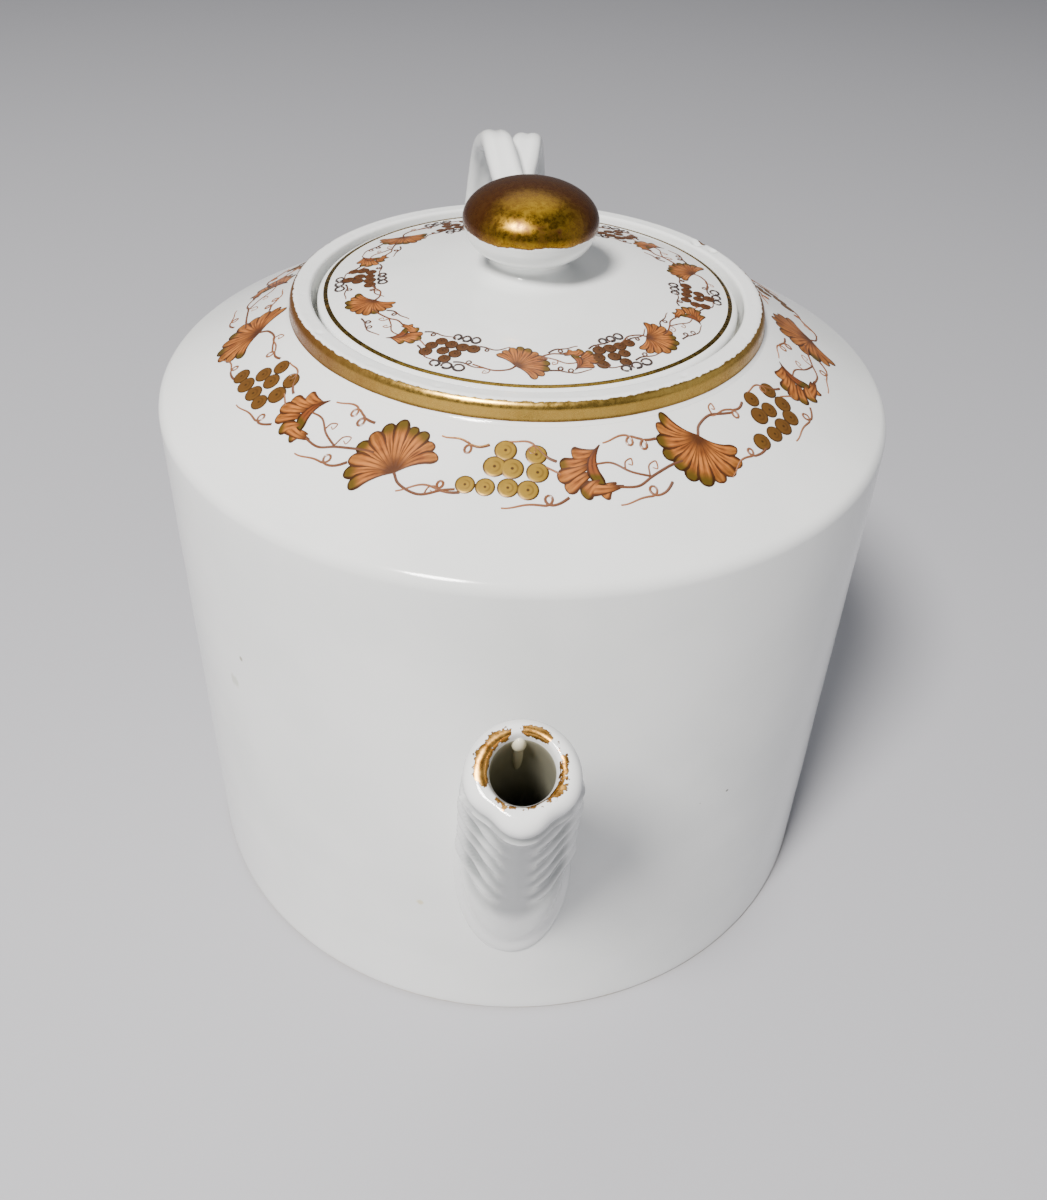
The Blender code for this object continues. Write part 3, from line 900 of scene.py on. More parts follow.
@dataclass(frozen=True)
class StrokeEnamel(Finish):
    """Brown enamel drawn with a fine liner brush.

    To the eye: thin red-brown stems, tendrils that thin out paler, and near-black rings.
    """

    name: str = "overglaze_enamel_liner_drawn"

    def surface(self, add: Adder, place: Socket) -> dict[str, object]:
        """Ink as strong as the fade attribute says: 1 is pale, 0 full, -1 near black.

        Args:
            add: the node adder.
            place: the Object coordinates.

        Returns:
            What feeds each input of the surface.
        """
        fade = add(STORED, out="Fac", attribute_name="fade")
        load = add(NOISE, {"Vector": place, "Scale": 1 / (2.5 * MM), "Detail": 2.0})
        ink = add(MIX, {0: load, 6: "#6E4026", 7: "#4A3022"}, **COLOUR)
        tint = add(MIX, {0: fade, 6: ink, 7: "#B87A50"}, **COLOUR)
        dark = add(RANGE, (fade, -1.0, 0.0, 1.0, 0.0))
        tint = add(MIX, {0: dark, 6: tint, 7: "#2E2624"}, **COLOUR)
        return {"Base Color": tint, "Roughness": 0.35, "IOR": 1.55}


@dataclass(frozen=True)
class StudioPaper(Finish):
    """Matt grey-white paper roll. To the eye: flat and pale, with a faint tooth."""

    name: str = "studio_paper_matt"

    def surface(self, add: Adder, place: Socket) -> dict[str, object]:
        """One colour with a tooth 0.6 mm across.

        Args:
            add: the node adder.
            place: the Object coordinates.

        Returns:
            What feeds each input of the surface.
        """
        tooth = add(NOISE, {"Vector": place, "Scale": 1 / (0.6 * MM), "Detail": 2.0})
        bump = add(BUMP, {"Strength": 0.2, "Distance": 0.03 * MM, "Height": tooth})
        return {"Base Color": "#B0B0B5", "Roughness": 0.6, "Normal": bump}


@dataclass
class Finishes:
    """Every finish of the pot, built once."""

    def __post_init__(self) -> None:
        """Builds the materials."""
        self.body = GlazedPorcelain(
            foot_bare_to=0.9 * MM,
            spots=((wall_spot(-45.4, 62.7), 0.5 * MM, "#8F8A72"),
                   (wall_spot(-48.4, 56.3), 1.3 * MM, "#C9CBBE"),
                   (wall_spot(25.6, 91.2), 0.35 * MM, "#3A3228"),
                   (wall_spot(34.6, 44.8), 0.3 * MM, "#3A3228"),
                   (wall_spot(-14.2, 26.8), 0.7 * MM, "#D8CFA8"))).build()
        self.white = GlazedPorcelain("hard_paste_porcelain_clear_glazed_small").build()
        self.inner = GlazedPorcelain("hard_paste_porcelain_inner_glaze",
                                     "#DEDDD2", "#CFCDBF", 0.16).build()
        self.bore = GlazedPorcelain("hard_paste_porcelain_bore_glaze",
                                    "#A9A692", "#858270", 0.2).build()
        self.drip = GlazedPorcelain("hard_paste_porcelain_pooled_glaze",
                                    "#E4DFC6", "#D6D0B2").build()
        self.biscuit = BareBiscuit().build()
        # The collar's and the knob's gold is painted browner away from a point on their front:
        # painted shade where it would reflect the dark surroundings.
        self.collar = FiredGold("fired_gold_collar_burnished_with_painted_shade", GiltEdge.BAND,
                                low=101.1 * MM, high=103.5 * MM, rubbed=0.3, grain=0.45,
                                lit_front_at=(8 * MM, -34.6 * MM, 102 * MM),
                                lit_front_within=24 * MM).build()
        self.knob = FiredGold("fired_gold_knob_burnished_with_painted_shade", GiltEdge.CAP,
                              low=114.3 * MM, waver=2.0 * MM,
                              deep="#7E5A16", bright="#B08A2A", brown="#4A2210",
                              lit_front_at=(0.5 * MM, -9.0 * MM, 114.5 * MM),
                              lit_front_within=5 * MM).build()
        self.line = FiredGold("fired_gold_line_brushed", GiltEdge.WHOLE,
                              deep="#6E5522", bright="#A98A3C").build()
        # The lip's white also takes the pool attribute's painted shade.
        self.lip = FiredGold("porcelain_lip_with_worn_gold_and_painted_shade", GiltEdge.PATCHES, rubbed=0.3,
                             deep="#C48434", bright="#EDB864", brown="#6E4420").build()
        self.leaf = LeafEnamel().build()
        # Both grape finishes are painted browner away from the pot's front, as shade.
        self.grape = GrapeGilding().build()
        self.dark_grape = GrapeGilding("brown_enamel_dabbed_with_painted_shade",
                                       "#6B4420", "#4A2E16", "#2A1A10").build()
        self.stroke = StrokeEnamel().build()


# The pot's own shape, worked out from its driving sizes


@dataclass(frozen=True)
class PotShape:
    """Driving sizes of the drum and what follows from them."""

    base_radius: float = 58.0 * MM
    shoulder_radius: float = 56.0 * MM
    shoulder_height: float = 90.0 * MM
    wall: float = 3.6 * MM
    base_thickness: float = 4.0 * MM
    rise: float = 10.9 * MM
    collar_radius: float = 35.5 * MM
    collar_bore: float = 32.2 * MM
    rim_height: float = 103.7 * MM
    lid_radius: float = 31.4 * MM
    lid_edge_height: float = 102.9 * MM
    lid_rise: float = 3.1 * MM

    @property
    def slope(self) -> float:
        """Rise of the shoulder for each unit of radius."""
        return self.rise / (self.shoulder_radius - self.collar_radius)

    def wall_radius(self, height: float) -> float:
        """Outer radius of the drum at a height."""
        taper = (self.shoulder_radius - self.base_radius) / self.shoulder_height
        return self.base_radius + taper * height

    def shoulder_at(self, radius: float) -> float:
        """Height of the shoulder's slope at a radius."""
        return self.shoulder_height + (self.shoulder_radius - radius) * self.slope

    def lid_at(self, radius: float) -> float:
        """Height of the lid's dome at a radius."""
        return self.lid_edge_height + self.lid_rise * (1 - (radius / self.lid_radius) ** 2)


SHAPE = PotShape()
HANDLE_SKEW = Matrix.Rotation(math.radians(2.5), 4, "Z")     # it was luted on slightly askew
BURIED = 1.4 * MM                        # how deep a luted piece goes into the wall
SIDEWAYS = Vector((1, 0, 0))


def wall_spot(angle: float, height: float) -> tuple[float, float, float]:
    """A place on the drum's wall from an angle in degrees and a height in millimetres."""
    radius, turn = SHAPE.wall_radius(height * MM), math.radians(angle)
    return (radius * math.sin(turn), -radius * math.cos(turn), height * MM)


def within_wall(point: Vector) -> Vector:
    """Keeps a point out of the chamber: inside the drum it stops in the wall's thickness.

    Args:
        point: any point.

    Returns:
        The point, or its place in the wall.
    """
    radius = math.hypot(point.x, point.y)
    limit = SHAPE.wall_radius(point.z) - BURIED
    if radius >= limit:
        return point
    return Vector((point.x * limit / radius, point.y * limit / radius, point.z))


def place_piece(piece: Piece, body: Body, slot: str, *nodes: str) -> None:
    """Rides a piece on its body and hides the CAD nodes it stands for.

    Args:
        piece: the finished piece.
        body: the body that carries it.
        slot: name of its finish slot; not used.
        nodes: names of the CAD nodes it replaces.
    """
    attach(piece, body.value)
    if nodes:
        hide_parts(*nodes)
    LOG.info("%s: %d faces, on %s", piece.name, len(piece.data.polygons), body.value)


def dress(piece: Piece, material: Coat,
          chosen: Callable[[Face], bool]) -> None:
    """Gives a second finish to the faces that the chosen test picks.

    Args:
        piece: the piece.
        material: its second finish.
        chosen: says whether a face takes it.
    """
    piece.data.materials.append(material)
    for face in piece.data.polygons:
        if chosen(face):
            face.material_index = len(piece.data.materials) - 1


@dataclass
class Drum:
    """The thrown drum with its shoulder, the flat base and the inner ledge."""

    shop: Workshop
    finishes: Finishes
    crest: float = 2.4 * MM
    foot_rounding: float = 0.8 * MM
    inner_bend: float = 4.0 * MM
    inner_straight_to: float = 84.0 * MM  # height where the inner wall starts to bend
    hollow_radius: float = 46.0 * MM      # the scraped hollow under the base
    seat_bore: float = 25.5 * MM
    seat_top: float = 99.4 * MM
    unevenness: float = 0.22 * MM
    hole_radius: float = 1.7 * MM
    hole_pitch: float = 4.6 * MM
    hole_height: float = 39.5 * MM

    def outline(self) -> list[Pair]:
        """The drum's closed section: up the outside, over the shoulder, down the inside.

        Returns:
            Its (radius, height) points.
        """
        s, foot, bend = SHAPE, self.foot_rounding, self.inner_bend
        slope = math.degrees(math.atan(s.slope))
        setback = self.crest * math.tan(math.radians(90 - slope) / 2)
        middle = (s.shoulder_radius - self.crest, s.shoulder_height - setback)
        points = arc((s.base_radius - foot, foot), foot, -90, 0, 5)
        points += straight((s.base_radius, foot + 1 * MM),
                           (s.wall_radius(middle[1]), middle[1] - 0.5 * MM), 44)
        points += arc(middle, self.crest, 0, 90 - slope, 8)
        start = points[-1][0] - 0.6 * MM
        under = s.collar_radius - 0.6 * MM
        points += straight((start, s.shoulder_at(start)), (under, s.shoulder_at(under)), 16)
        drop = s.wall / math.cos(math.atan(s.slope))
        points += [(under, s.shoulder_at(under)), (under, s.shoulder_at(under) - drop)]
        corner = s.shoulder_radius - s.wall - bend
        points += straight((under + 1 * MM, s.shoulder_at(under + 1 * MM) - drop),
                           (corner, s.shoulder_at(corner) - drop), 8)
        points += arc((corner, s.shoulder_at(corner) - drop - bend), bend, 90 - slope, 0, 6)
        inner = s.base_radius - s.wall
        top = self.inner_straight_to
        points += straight((s.wall_radius(top) - s.wall, top), (inner, s.base_thickness), 30)
        points += [(inner, s.base_thickness), (inner, 0.3 * MM), (inner + 0.3 * MM, 0.0)]
        return points + [points[0]]

    def strainer(self, drum: Piece) -> None:
        """Pierces the seven strainer holes through the wall behind the spout.

        Args:
            drum: the turned drum, which gets a new mesh.
        """
        mesh = bpy.data.meshes.new("strainer_drill")
        ring = [(math.cos(i * math.tau / 6), math.sin(i * math.tau / 6)) for i in range(6)]
        with editing(mesh) as bm:
            for across, up in [(0.0, 0.0)] + ring:
                spot = Matrix.Translation((across * self.hole_pitch, -SHAPE.base_radius,
                                           self.hole_height + up * self.hole_pitch))
                bmesh.ops.create_cone(
                    bm, cap_ends=True, segments=24, radius1=self.hole_radius,
                    radius2=self.hole_radius, depth=5 * SHAPE.wall,
                    matrix=spot @ Matrix.Rotation(math.pi / 2, 4, "X"))
        drill = link("strainer_drill", mesh)
        cut = drum.modifiers.new("strainer", "BOOLEAN")
        cut.operation, cut.solver, cut.object = "DIFFERENCE", "EXACT", drill
        graph = bpy.context.evaluated_depsgraph_get()
        pierced = bpy.data.meshes.new_from_object(drum.evaluated_get(graph))
        drum.modifiers.remove(cut)
        drum.data = pierced
        pierced.set_sharp_from_angle(angle=SHARP_ANGLE)
        bpy.data.objects.remove(drill)

    def build(self) -> None:
        """Makes the drum, the base and the seat."""
        drum = self.shop.turn("drum_skin", self.outline(), self.finishes.body,
                              unevenness=self.unevenness)
        self.strainer(drum)
        place_piece(drum, Body.POT, "white_glaze", "body_wall", "shoulder")
        self.build_base()
        self.build_seat()

    def build_base(self) -> None:
        """The closing disc: bare and slightly hollow below, glazed above."""
        radius = SHAPE.base_radius - SHAPE.wall - 0.01 * MM
        top, hollow = SHAPE.base_thickness, self.hollow_radius
        outline = straight((0.0, 1.1 * MM), (hollow, 0.9 * MM), 24)
        outline += arc((hollow, 0.5 * MM), 0.4 * MM, 90, 30, 3)
        outline += [(hollow + 2 * MM, 0.35 * MM), (radius - 0.4 * MM, 0.3 * MM), (radius, 0.6 * MM),
                    (radius, top - 0.2 * MM), (radius - 1 * MM, top), (0.0, top)]
        base = self.shop.turn("base_disc", outline, self.finishes.biscuit)
        dress(base, self.finishes.inner, lambda face: face.normal.z > 0.5)
        place_piece(base, Body.POT, "biscuit", "base_plate")

    def build_seat(self) -> None:
        """The ledge inside the collar that carries the lid."""
        bore, top, low = self.seat_bore, self.seat_top, self.seat_top - 3 * MM
        outer = SHAPE.collar_bore + 0.3 * MM
        outline = [(outer, top)] + straight((outer - 0.6 * MM, top), (bore + 1.2 * MM, top), 6)
        outline += arc((bore + 1.2 * MM, top - 1.2 * MM), 1.2 * MM, 90, 180, 6)
        outline += [(bore + 0.3 * MM, low), (outer, low), (outer, top)]
        seat = self.shop.turn("lid_seat", outline, self.finishes.inner, unevenness=0.1 * MM)
        place_piece(seat, Body.POT, "inner_glaze", "seat_ring")


@dataclass
class Collar:
    """The upright neck round the mouth: gilt outside, its rim worn white and chipped."""

    shop: Workshop
    finishes: Finishes
    fillet: float = 0.55 * MM
    rim_rounding: float = 1.25 * MM
    bottom: float = 96.8 * MM
    gilt_beyond: float = 34.5 * MM
    chips: tuple = ((124.3, 1.5 * MM, 0.5 * MM), (118.0, 0.9 * MM, 0.3 * MM),
                    (-58.0, 0.6 * MM, 0.18 * MM), (-20.0, 0.5 * MM, 0.12 * MM),
                    (37.0, 0.5 * MM, 0.14 * MM), (12.0, 0.35 * MM, 0.1 * MM))

    def outline(self) -> list[Pair]:
        """The collar's closed section, from the fillet on the shoulder over the rim.

        Returns:
            Its (radius, height) points.
        """
        out, bore, top = SHAPE.collar_radius, SHAPE.collar_bore, SHAPE.rim_height
        turn = self.rim_rounding
        foot = SHAPE.shoulder_at(out + self.fillet)
        points = [(out + self.fillet, foot), (out + 0.28 * MM, foot + 0.24 * MM),
                  (out + 0.08 * MM, foot + 0.45 * MM)]
        points += straight((out, foot + 0.75 * MM), (out - 0.12 * MM, top - turn), 5)
        points += arc((out - 0.12 * MM - turn, top - turn), turn, 0, 90, 9)
        points += straight((out - turn - 0.4 * MM, top - 0.02 * MM),
                           (bore + 0.5 * MM, top - 0.04 * MM), 5)
        points += arc((bore + 0.5 * MM, top - 0.54 * MM), 0.5 * MM, 90, 180, 5)
        points += straight((bore, top - 1.2 * MM), (bore, 98 * MM), 6)
        points += [(bore, self.bottom), (out + 0.3 * MM, self.bottom),
                   (out + self.fillet, foot - 0.4 * MM)]
        return points + [points[0]]

    def build(self) -> None:
        """Makes the collar and knocks the chips out of its rim."""
        collar = self.shop.turn("collar_ring", self.outline(), self.finishes.collar,
                                steps=2 * AROUND, unevenness=0.08 * MM)
        middle = (SHAPE.collar_radius + SHAPE.collar_bore) / 2
        for vertex in collar.data.vertices:
            if vertex.co.z < SHAPE.rim_height - 1.5 * MM:
                continue
            pit = noise.noise(vertex.co / (0.9 * MM))
            vertex.co.z -= max(pit - 0.25, 0.0) * 0.12 * MM
            for angle, radius, depth in self.chips:
                turn = math.radians(angle)
                spot = Vector((middle * math.sin(turn), -middle * math.cos(turn), vertex.co.z))
                near = 1 - ease((vertex.co - spot).length, 0.35 * radius, radius)
                vertex.co.z -= near * depth * (1 + 0.5 * noise.noise(vertex.co / (0.5 * MM)))
        dress(collar, self.finishes.white,
              lambda face: math.hypot(face.center.x, face.center.y) < self.gilt_beyond)
        place_piece(collar, Body.POT, "collar_gilding", "collar")


@dataclass
class Spout:
    """The straight moulded spout: rounded lip, folds down its sides, root run into the wall."""

    finishes: Finishes
    root: Vector = field(default_factory=lambda: Vector((0, -57.0, 39.5)) * MM)
    tip: Vector = field(default_factory=lambda: Vector((0, -81.5, 87.0)) * MM)
    root_across: float = 7.8 * MM
    root_in_plane: float = 9.4 * MM
    lip_radius: float = 6.25 * MM
    lip_edge: float = 1.75 * MM
    bore_root: float = 5.2 * MM
    bore_tip: float = 3.45 * MM
    sides: int = 120
    rows: int = 110
    bore_rows: int = 30
    lip_depth: float = 2.0 * MM          # how far down the bore the lip's rounding reaches
    turn_in: float = 0.35                # share of the length that goes on past the root
    fold_places: tuple = (0.82, 0.70, 0.575, 0.44, 0.29)
    keel: float = 0.13                   # how much the cheeks beside the front edge are drawn in
    bore_back: float = 0.4 * MM          # the mouth sits a little towards the pot
    gilt_places: tuple = ((-82.0, 46.0, 0.98), (-42.0, 36.0, 0.84), (20.0, 36.0, 0.78),
                          (62.0, 28.0, 0.5), (84.0, 20.0, 0.55), (114.0, 34.0, 0.78),
                          (160.0, 48.0, 0.66), (206.0, 30.0, 0.56))

    def __post_init__(self) -> None:
        """Works out the spout's own directions."""
        self.axis = (self.tip - self.root).normalized()
        self.length = (self.tip - self.root).length
        self.front = Vector((0, -self.axis.z, self.axis.y))

    def point(self, along: float, turn: float, across: float, in_plane: float) -> Vector:
        """A point at a distance along the axis and a turn from the front, towards +X."""
        return (self.root + self.axis * along + self.front * in_plane * math.cos(turn)
                + SIDEWAYS * across * math.sin(turn))

    def relief(self, share: float, turn: float) -> float:
        """Height of the moulded folds and side ridges over the plain spout.

        Args:
            share: place along the spout, 0 at the root and 1 at the lip.
            turn: angle from the front.

        Returns:
            The height in metres.
        """
        aside = off_front(turn)
        height = 0.0
        for i, place in enumerate(self.fold_places):
            off = share - place - 0.11 * (aside / 1.4) ** 2 - 0.012 * math.sin(3 * turn + 2 * i)
            fade = ease(aside, 0.1, 0.75) * (1 - ease(aside, 1.5, 2.0))
            height += 0.6 * MM * fade * bell(off, 0.0, 0.017 if off > 0 else 0.062)
        ridge = bell(aside, 1.4, 0.17) * ease(share, -0.1, 0.35)
        hollow = bell(aside, 0.95, 0.24) * ease(share, 0.0, 0.4)
        panel = bell(aside, 0.0, 0.45) * ease(share, 0.0, 0.3)
        shaped = 0.5 * ridge - 0.5 * hollow - 0.35 * panel + 0.1 * bell(aside, 2.3, 0.3)
        height += (1 - ease(share, 0.86, 0.93)) * shaped * MM
        height -= 0.45 * MM * ease(share, 0.2, 0.7) * ease(aside, 0.8, 1.5)
        neck = (bell(share, 0.925, 0.012) - 0.9 * bell(share, 0.945, 0.01)
                - 0.7 * bell(share, 0.9, 0.012))
        return height + 0.26 * MM * neck

    def drawn_in(self, turn: float, share: float) -> float:
        """Share of the radius left beside the keeled front edge, from 1 at share 0."""
        return 1 - self.keel * bell(off_front(turn), 0.66, 0.36) * share

    def to_wall(self, point: Vector) -> Vector:
        """Keeps a point out of the chamber and flares it where the spout meets the wall.

        Args:
            point: a point of the outside.

        Returns:
            The moved point.
        """
        stand = math.hypot(point.x, point.y) - SHAPE.wall_radius(point.z)
        if stand < -BURIED:
            return within_wall(point)
        centre = self.root + self.axis * (point - self.root).dot(self.axis)
        flare = 1.1 * MM * (1 - ease(stand, -0.3 * MM, 2.6 * MM)) ** 2
        return point + (point - centre).normalized() * flare

    def outer_ring(self, along: float) -> list[Vector]:
        """One ring of the outside at a distance from the root.

        Args:
            along: the distance, negative inside the wall.

        Returns:
            The ring's points.
        """
        share = along / self.length
        taper = 0.5 * ease(share, -0.4, 1.0) + 0.5 * min(max(share, -0.4), 1.0)
        across, in_plane = (start + (self.lip_radius - start) * taper
                            for start in (self.root_across, self.root_in_plane))
        ring = []
        for turn in self.turns():
            lift = self.relief(share, turn)
            drawn = self.drawn_in(turn, ease(share, 0.0, 0.75))
            ring.append(self.to_wall(self.point(along, turn, across * drawn + lift,
                                                in_plane * drawn + lift)))
        return ring

    def turns(self) -> list[float]:
        """The angles of a ring's points."""
        return [math.tau * i / self.sides for i in range(self.sides)]

    def lip_ring(self, radius: float, along: float) -> list[Vector]:
        """One ring of the lip, drawn out a little to the front.

        Args:
            radius: the ring's radius.
            along: its distance from the root.

        Returns:
            The ring's points.
        """
        share = ease(radius, self.bore_tip, self.lip_radius)
        ring = []
        for turn in self.turns():
            drawn = radius * self.drawn_in(turn, share)
            dip = 0.12 * MM * math.sin(2 * turn + 0.6)
            point = self.point(along + dip, turn, drawn, drawn)
            ring.append(point - self.front * self.bore_back * (1 - share))
        return ring

    def build(self) -> None:
        """Makes the spout, stores where the lip keeps its gold, and hangs the glaze drip."""
        end, edge, bore = self.length, self.lip_edge, self.bore_tip
        turn_in = self.turn_in * end
        rings = [self.outer_ring(-turn_in + (end - 2.1 * MM + turn_in) * i / self.rows)
                 for i in range(self.rows + 1)]
        middle = self.lip_radius - edge
        lip = arc((middle, end - edge), edge, 10, 90, 9)
        lip += [(middle - 0.35 * MM, end - 0.04 * MM), (middle - 0.6 * MM, end - 0.2 * MM),
                (bore + 0.28 * MM, end - 0.75 * MM), (bore + 0.05 * MM, end - 1.3 * MM),
                (bore, end - self.lip_depth)]
        rings += [self.lip_ring(radius, along) for radius, along in lip]
        for i in range(1, self.bore_rows + 1):
            share = i / self.bore_rows
            along = end - self.lip_depth - (end - self.lip_depth + turn_in) * share
            radius = bore + (self.bore_root - bore) * share
            shift = self.front * self.bore_back * (1 - share)
            rings.append([within_wall(self.point(along, turn, radius, radius) - shift)
                          for turn in self.turns()])
        spout = skin("spout_moulded", rings, True, self.finishes.lip)
        points = [vertex.co for vertex in spout.data.vertices]
        set_attribute(spout.data, "gilt", "FLOAT", [self.gilding(p) for p in points])
        # The pool attribute is painted shade with some glaze pooling: it greys the spout's front and
        # the hollows of its mouldings.
        set_attribute(spout.data, "pool_and_painted_shade", "FLOAT", [self.painted_shade_and_pooling(p) for p in points])
        dress(spout, self.finishes.bore, self.in_bore)
        place_piece(spout, Body.POT, "white_glaze", "spout")
        self.build_drip()

    def round_mouth(self, point: Vector) -> tuple[float, float, float]:
        """A point's distance along the bore, distance from it, and turn from the pot's side.

        Args:
            point: any point of the spout.

        Returns:
            Two distances in metres and an angle in degrees.
        """
        local = point - self.root + self.front * self.bore_back
        inward = local.dot(self.front)
        turn = math.degrees(math.atan2(local.x, -inward))
        return local.dot(self.axis), math.hypot(local.x, inward), turn

    def gilding(self, point: Vector) -> float:
        """Share of gold left at a point of the lip's inner edge.

        Args:
            point: the point.

        Returns:
            The share, from 0 to 1.
        """
        along, out, turn = self.round_mouth(point)
        left = 0.3
        for middle, spread, amount in self.gilt_places:
            gap = abs((turn - middle + 180) % 360 - 180)
            left = max(left, amount * (1 - ease(gap, 0.35 * spread, 1.1 * spread)))
        ring = self.bore_tip + (0.85 - 0.4 * ease(abs(turn), 95.0, 140.0)) * MM
        above = ease(along, self.length - 1.4 * MM, self.length - 0.8 * MM)
        return above * left * bell(out, ring, (0.35 + 0.75 * left) * MM)

    def painted_shade_and_pooling(self, point: Vector) -> float:
        """How much painted shade, with some glaze pooling, greys a point of the outside, from 0 to
        0.95.

        Args:
            point: the point.

        Returns:
            The share of painted shade, with some pooling.
        """
        local = point - self.root
        share = local.dot(self.axis) / self.length
        turn = math.atan2(local.x, local.dot(self.front))
        # Painted shade: the front face, turned away from the light, and the hollows of the folds are
        # greyed.
        deep = 0.7 * (1 - ease(abs(turn), 0.45, 1.5)) - self.relief(share, turn) / (0.55 * MM)
        fade = ease(share, 0.02, 0.2) * (1 - ease(share, 0.95, 0.975))
        return min(max(deep, 0.1), 0.95) * fade

    def in_bore(self, face: Face) -> bool:
        """Whether a face lines the bore, which the duller inner glaze ran into.

        Args:
            face: a face of the spout.

        Returns:
            True for a face of the bore.
        """
        along, out, _ = self.round_mouth(face.center)
        inward = face.normal.dot(face.center - self.root - self.axis * along) < 0
        return inward and along < self.length - 1.3 * MM and out < self.bore_root + 0.5 * MM

    def build_drip(self) -> None:
        """The lump of glaze that ran and froze inside the lip, and the run below it."""
        mesh = bpy.data.meshes.new("glaze_drip")
        with editing(mesh) as bm:
            for depth, long, wide, thick in ((2.7, 1.75, 0.85, 0.9), (8.0, 6.0, 0.6, 0.4)):
                drop = bmesh.ops.create_icosphere(bm, subdivisions=4, radius=1.0)
                for vertex in drop["verts"]:
                    x, y, z = vertex.co
                    vertex.co = (
                        self.root + self.axis * (self.length - (depth - z * long) * MM)
                        - self.front * (self.bore_tip + self.bore_back + (y * thick + 0.1) * MM)
                        + SIDEWAYS * (x * wide - 0.45) * MM)
            bmesh.ops.recalc_face_normals(bm, faces=bm.faces)
        mesh.shade_smooth()
        mesh.materials.append(self.finishes.drip)
        place_piece(link("glaze_drip", mesh), Body.POT, "white_glaze")


def off_front(turn: float) -> float:
    """How far a turn is from the front, from 0 to pi."""
    return abs(math.atan2(math.sin(turn), math.cos(turn)))


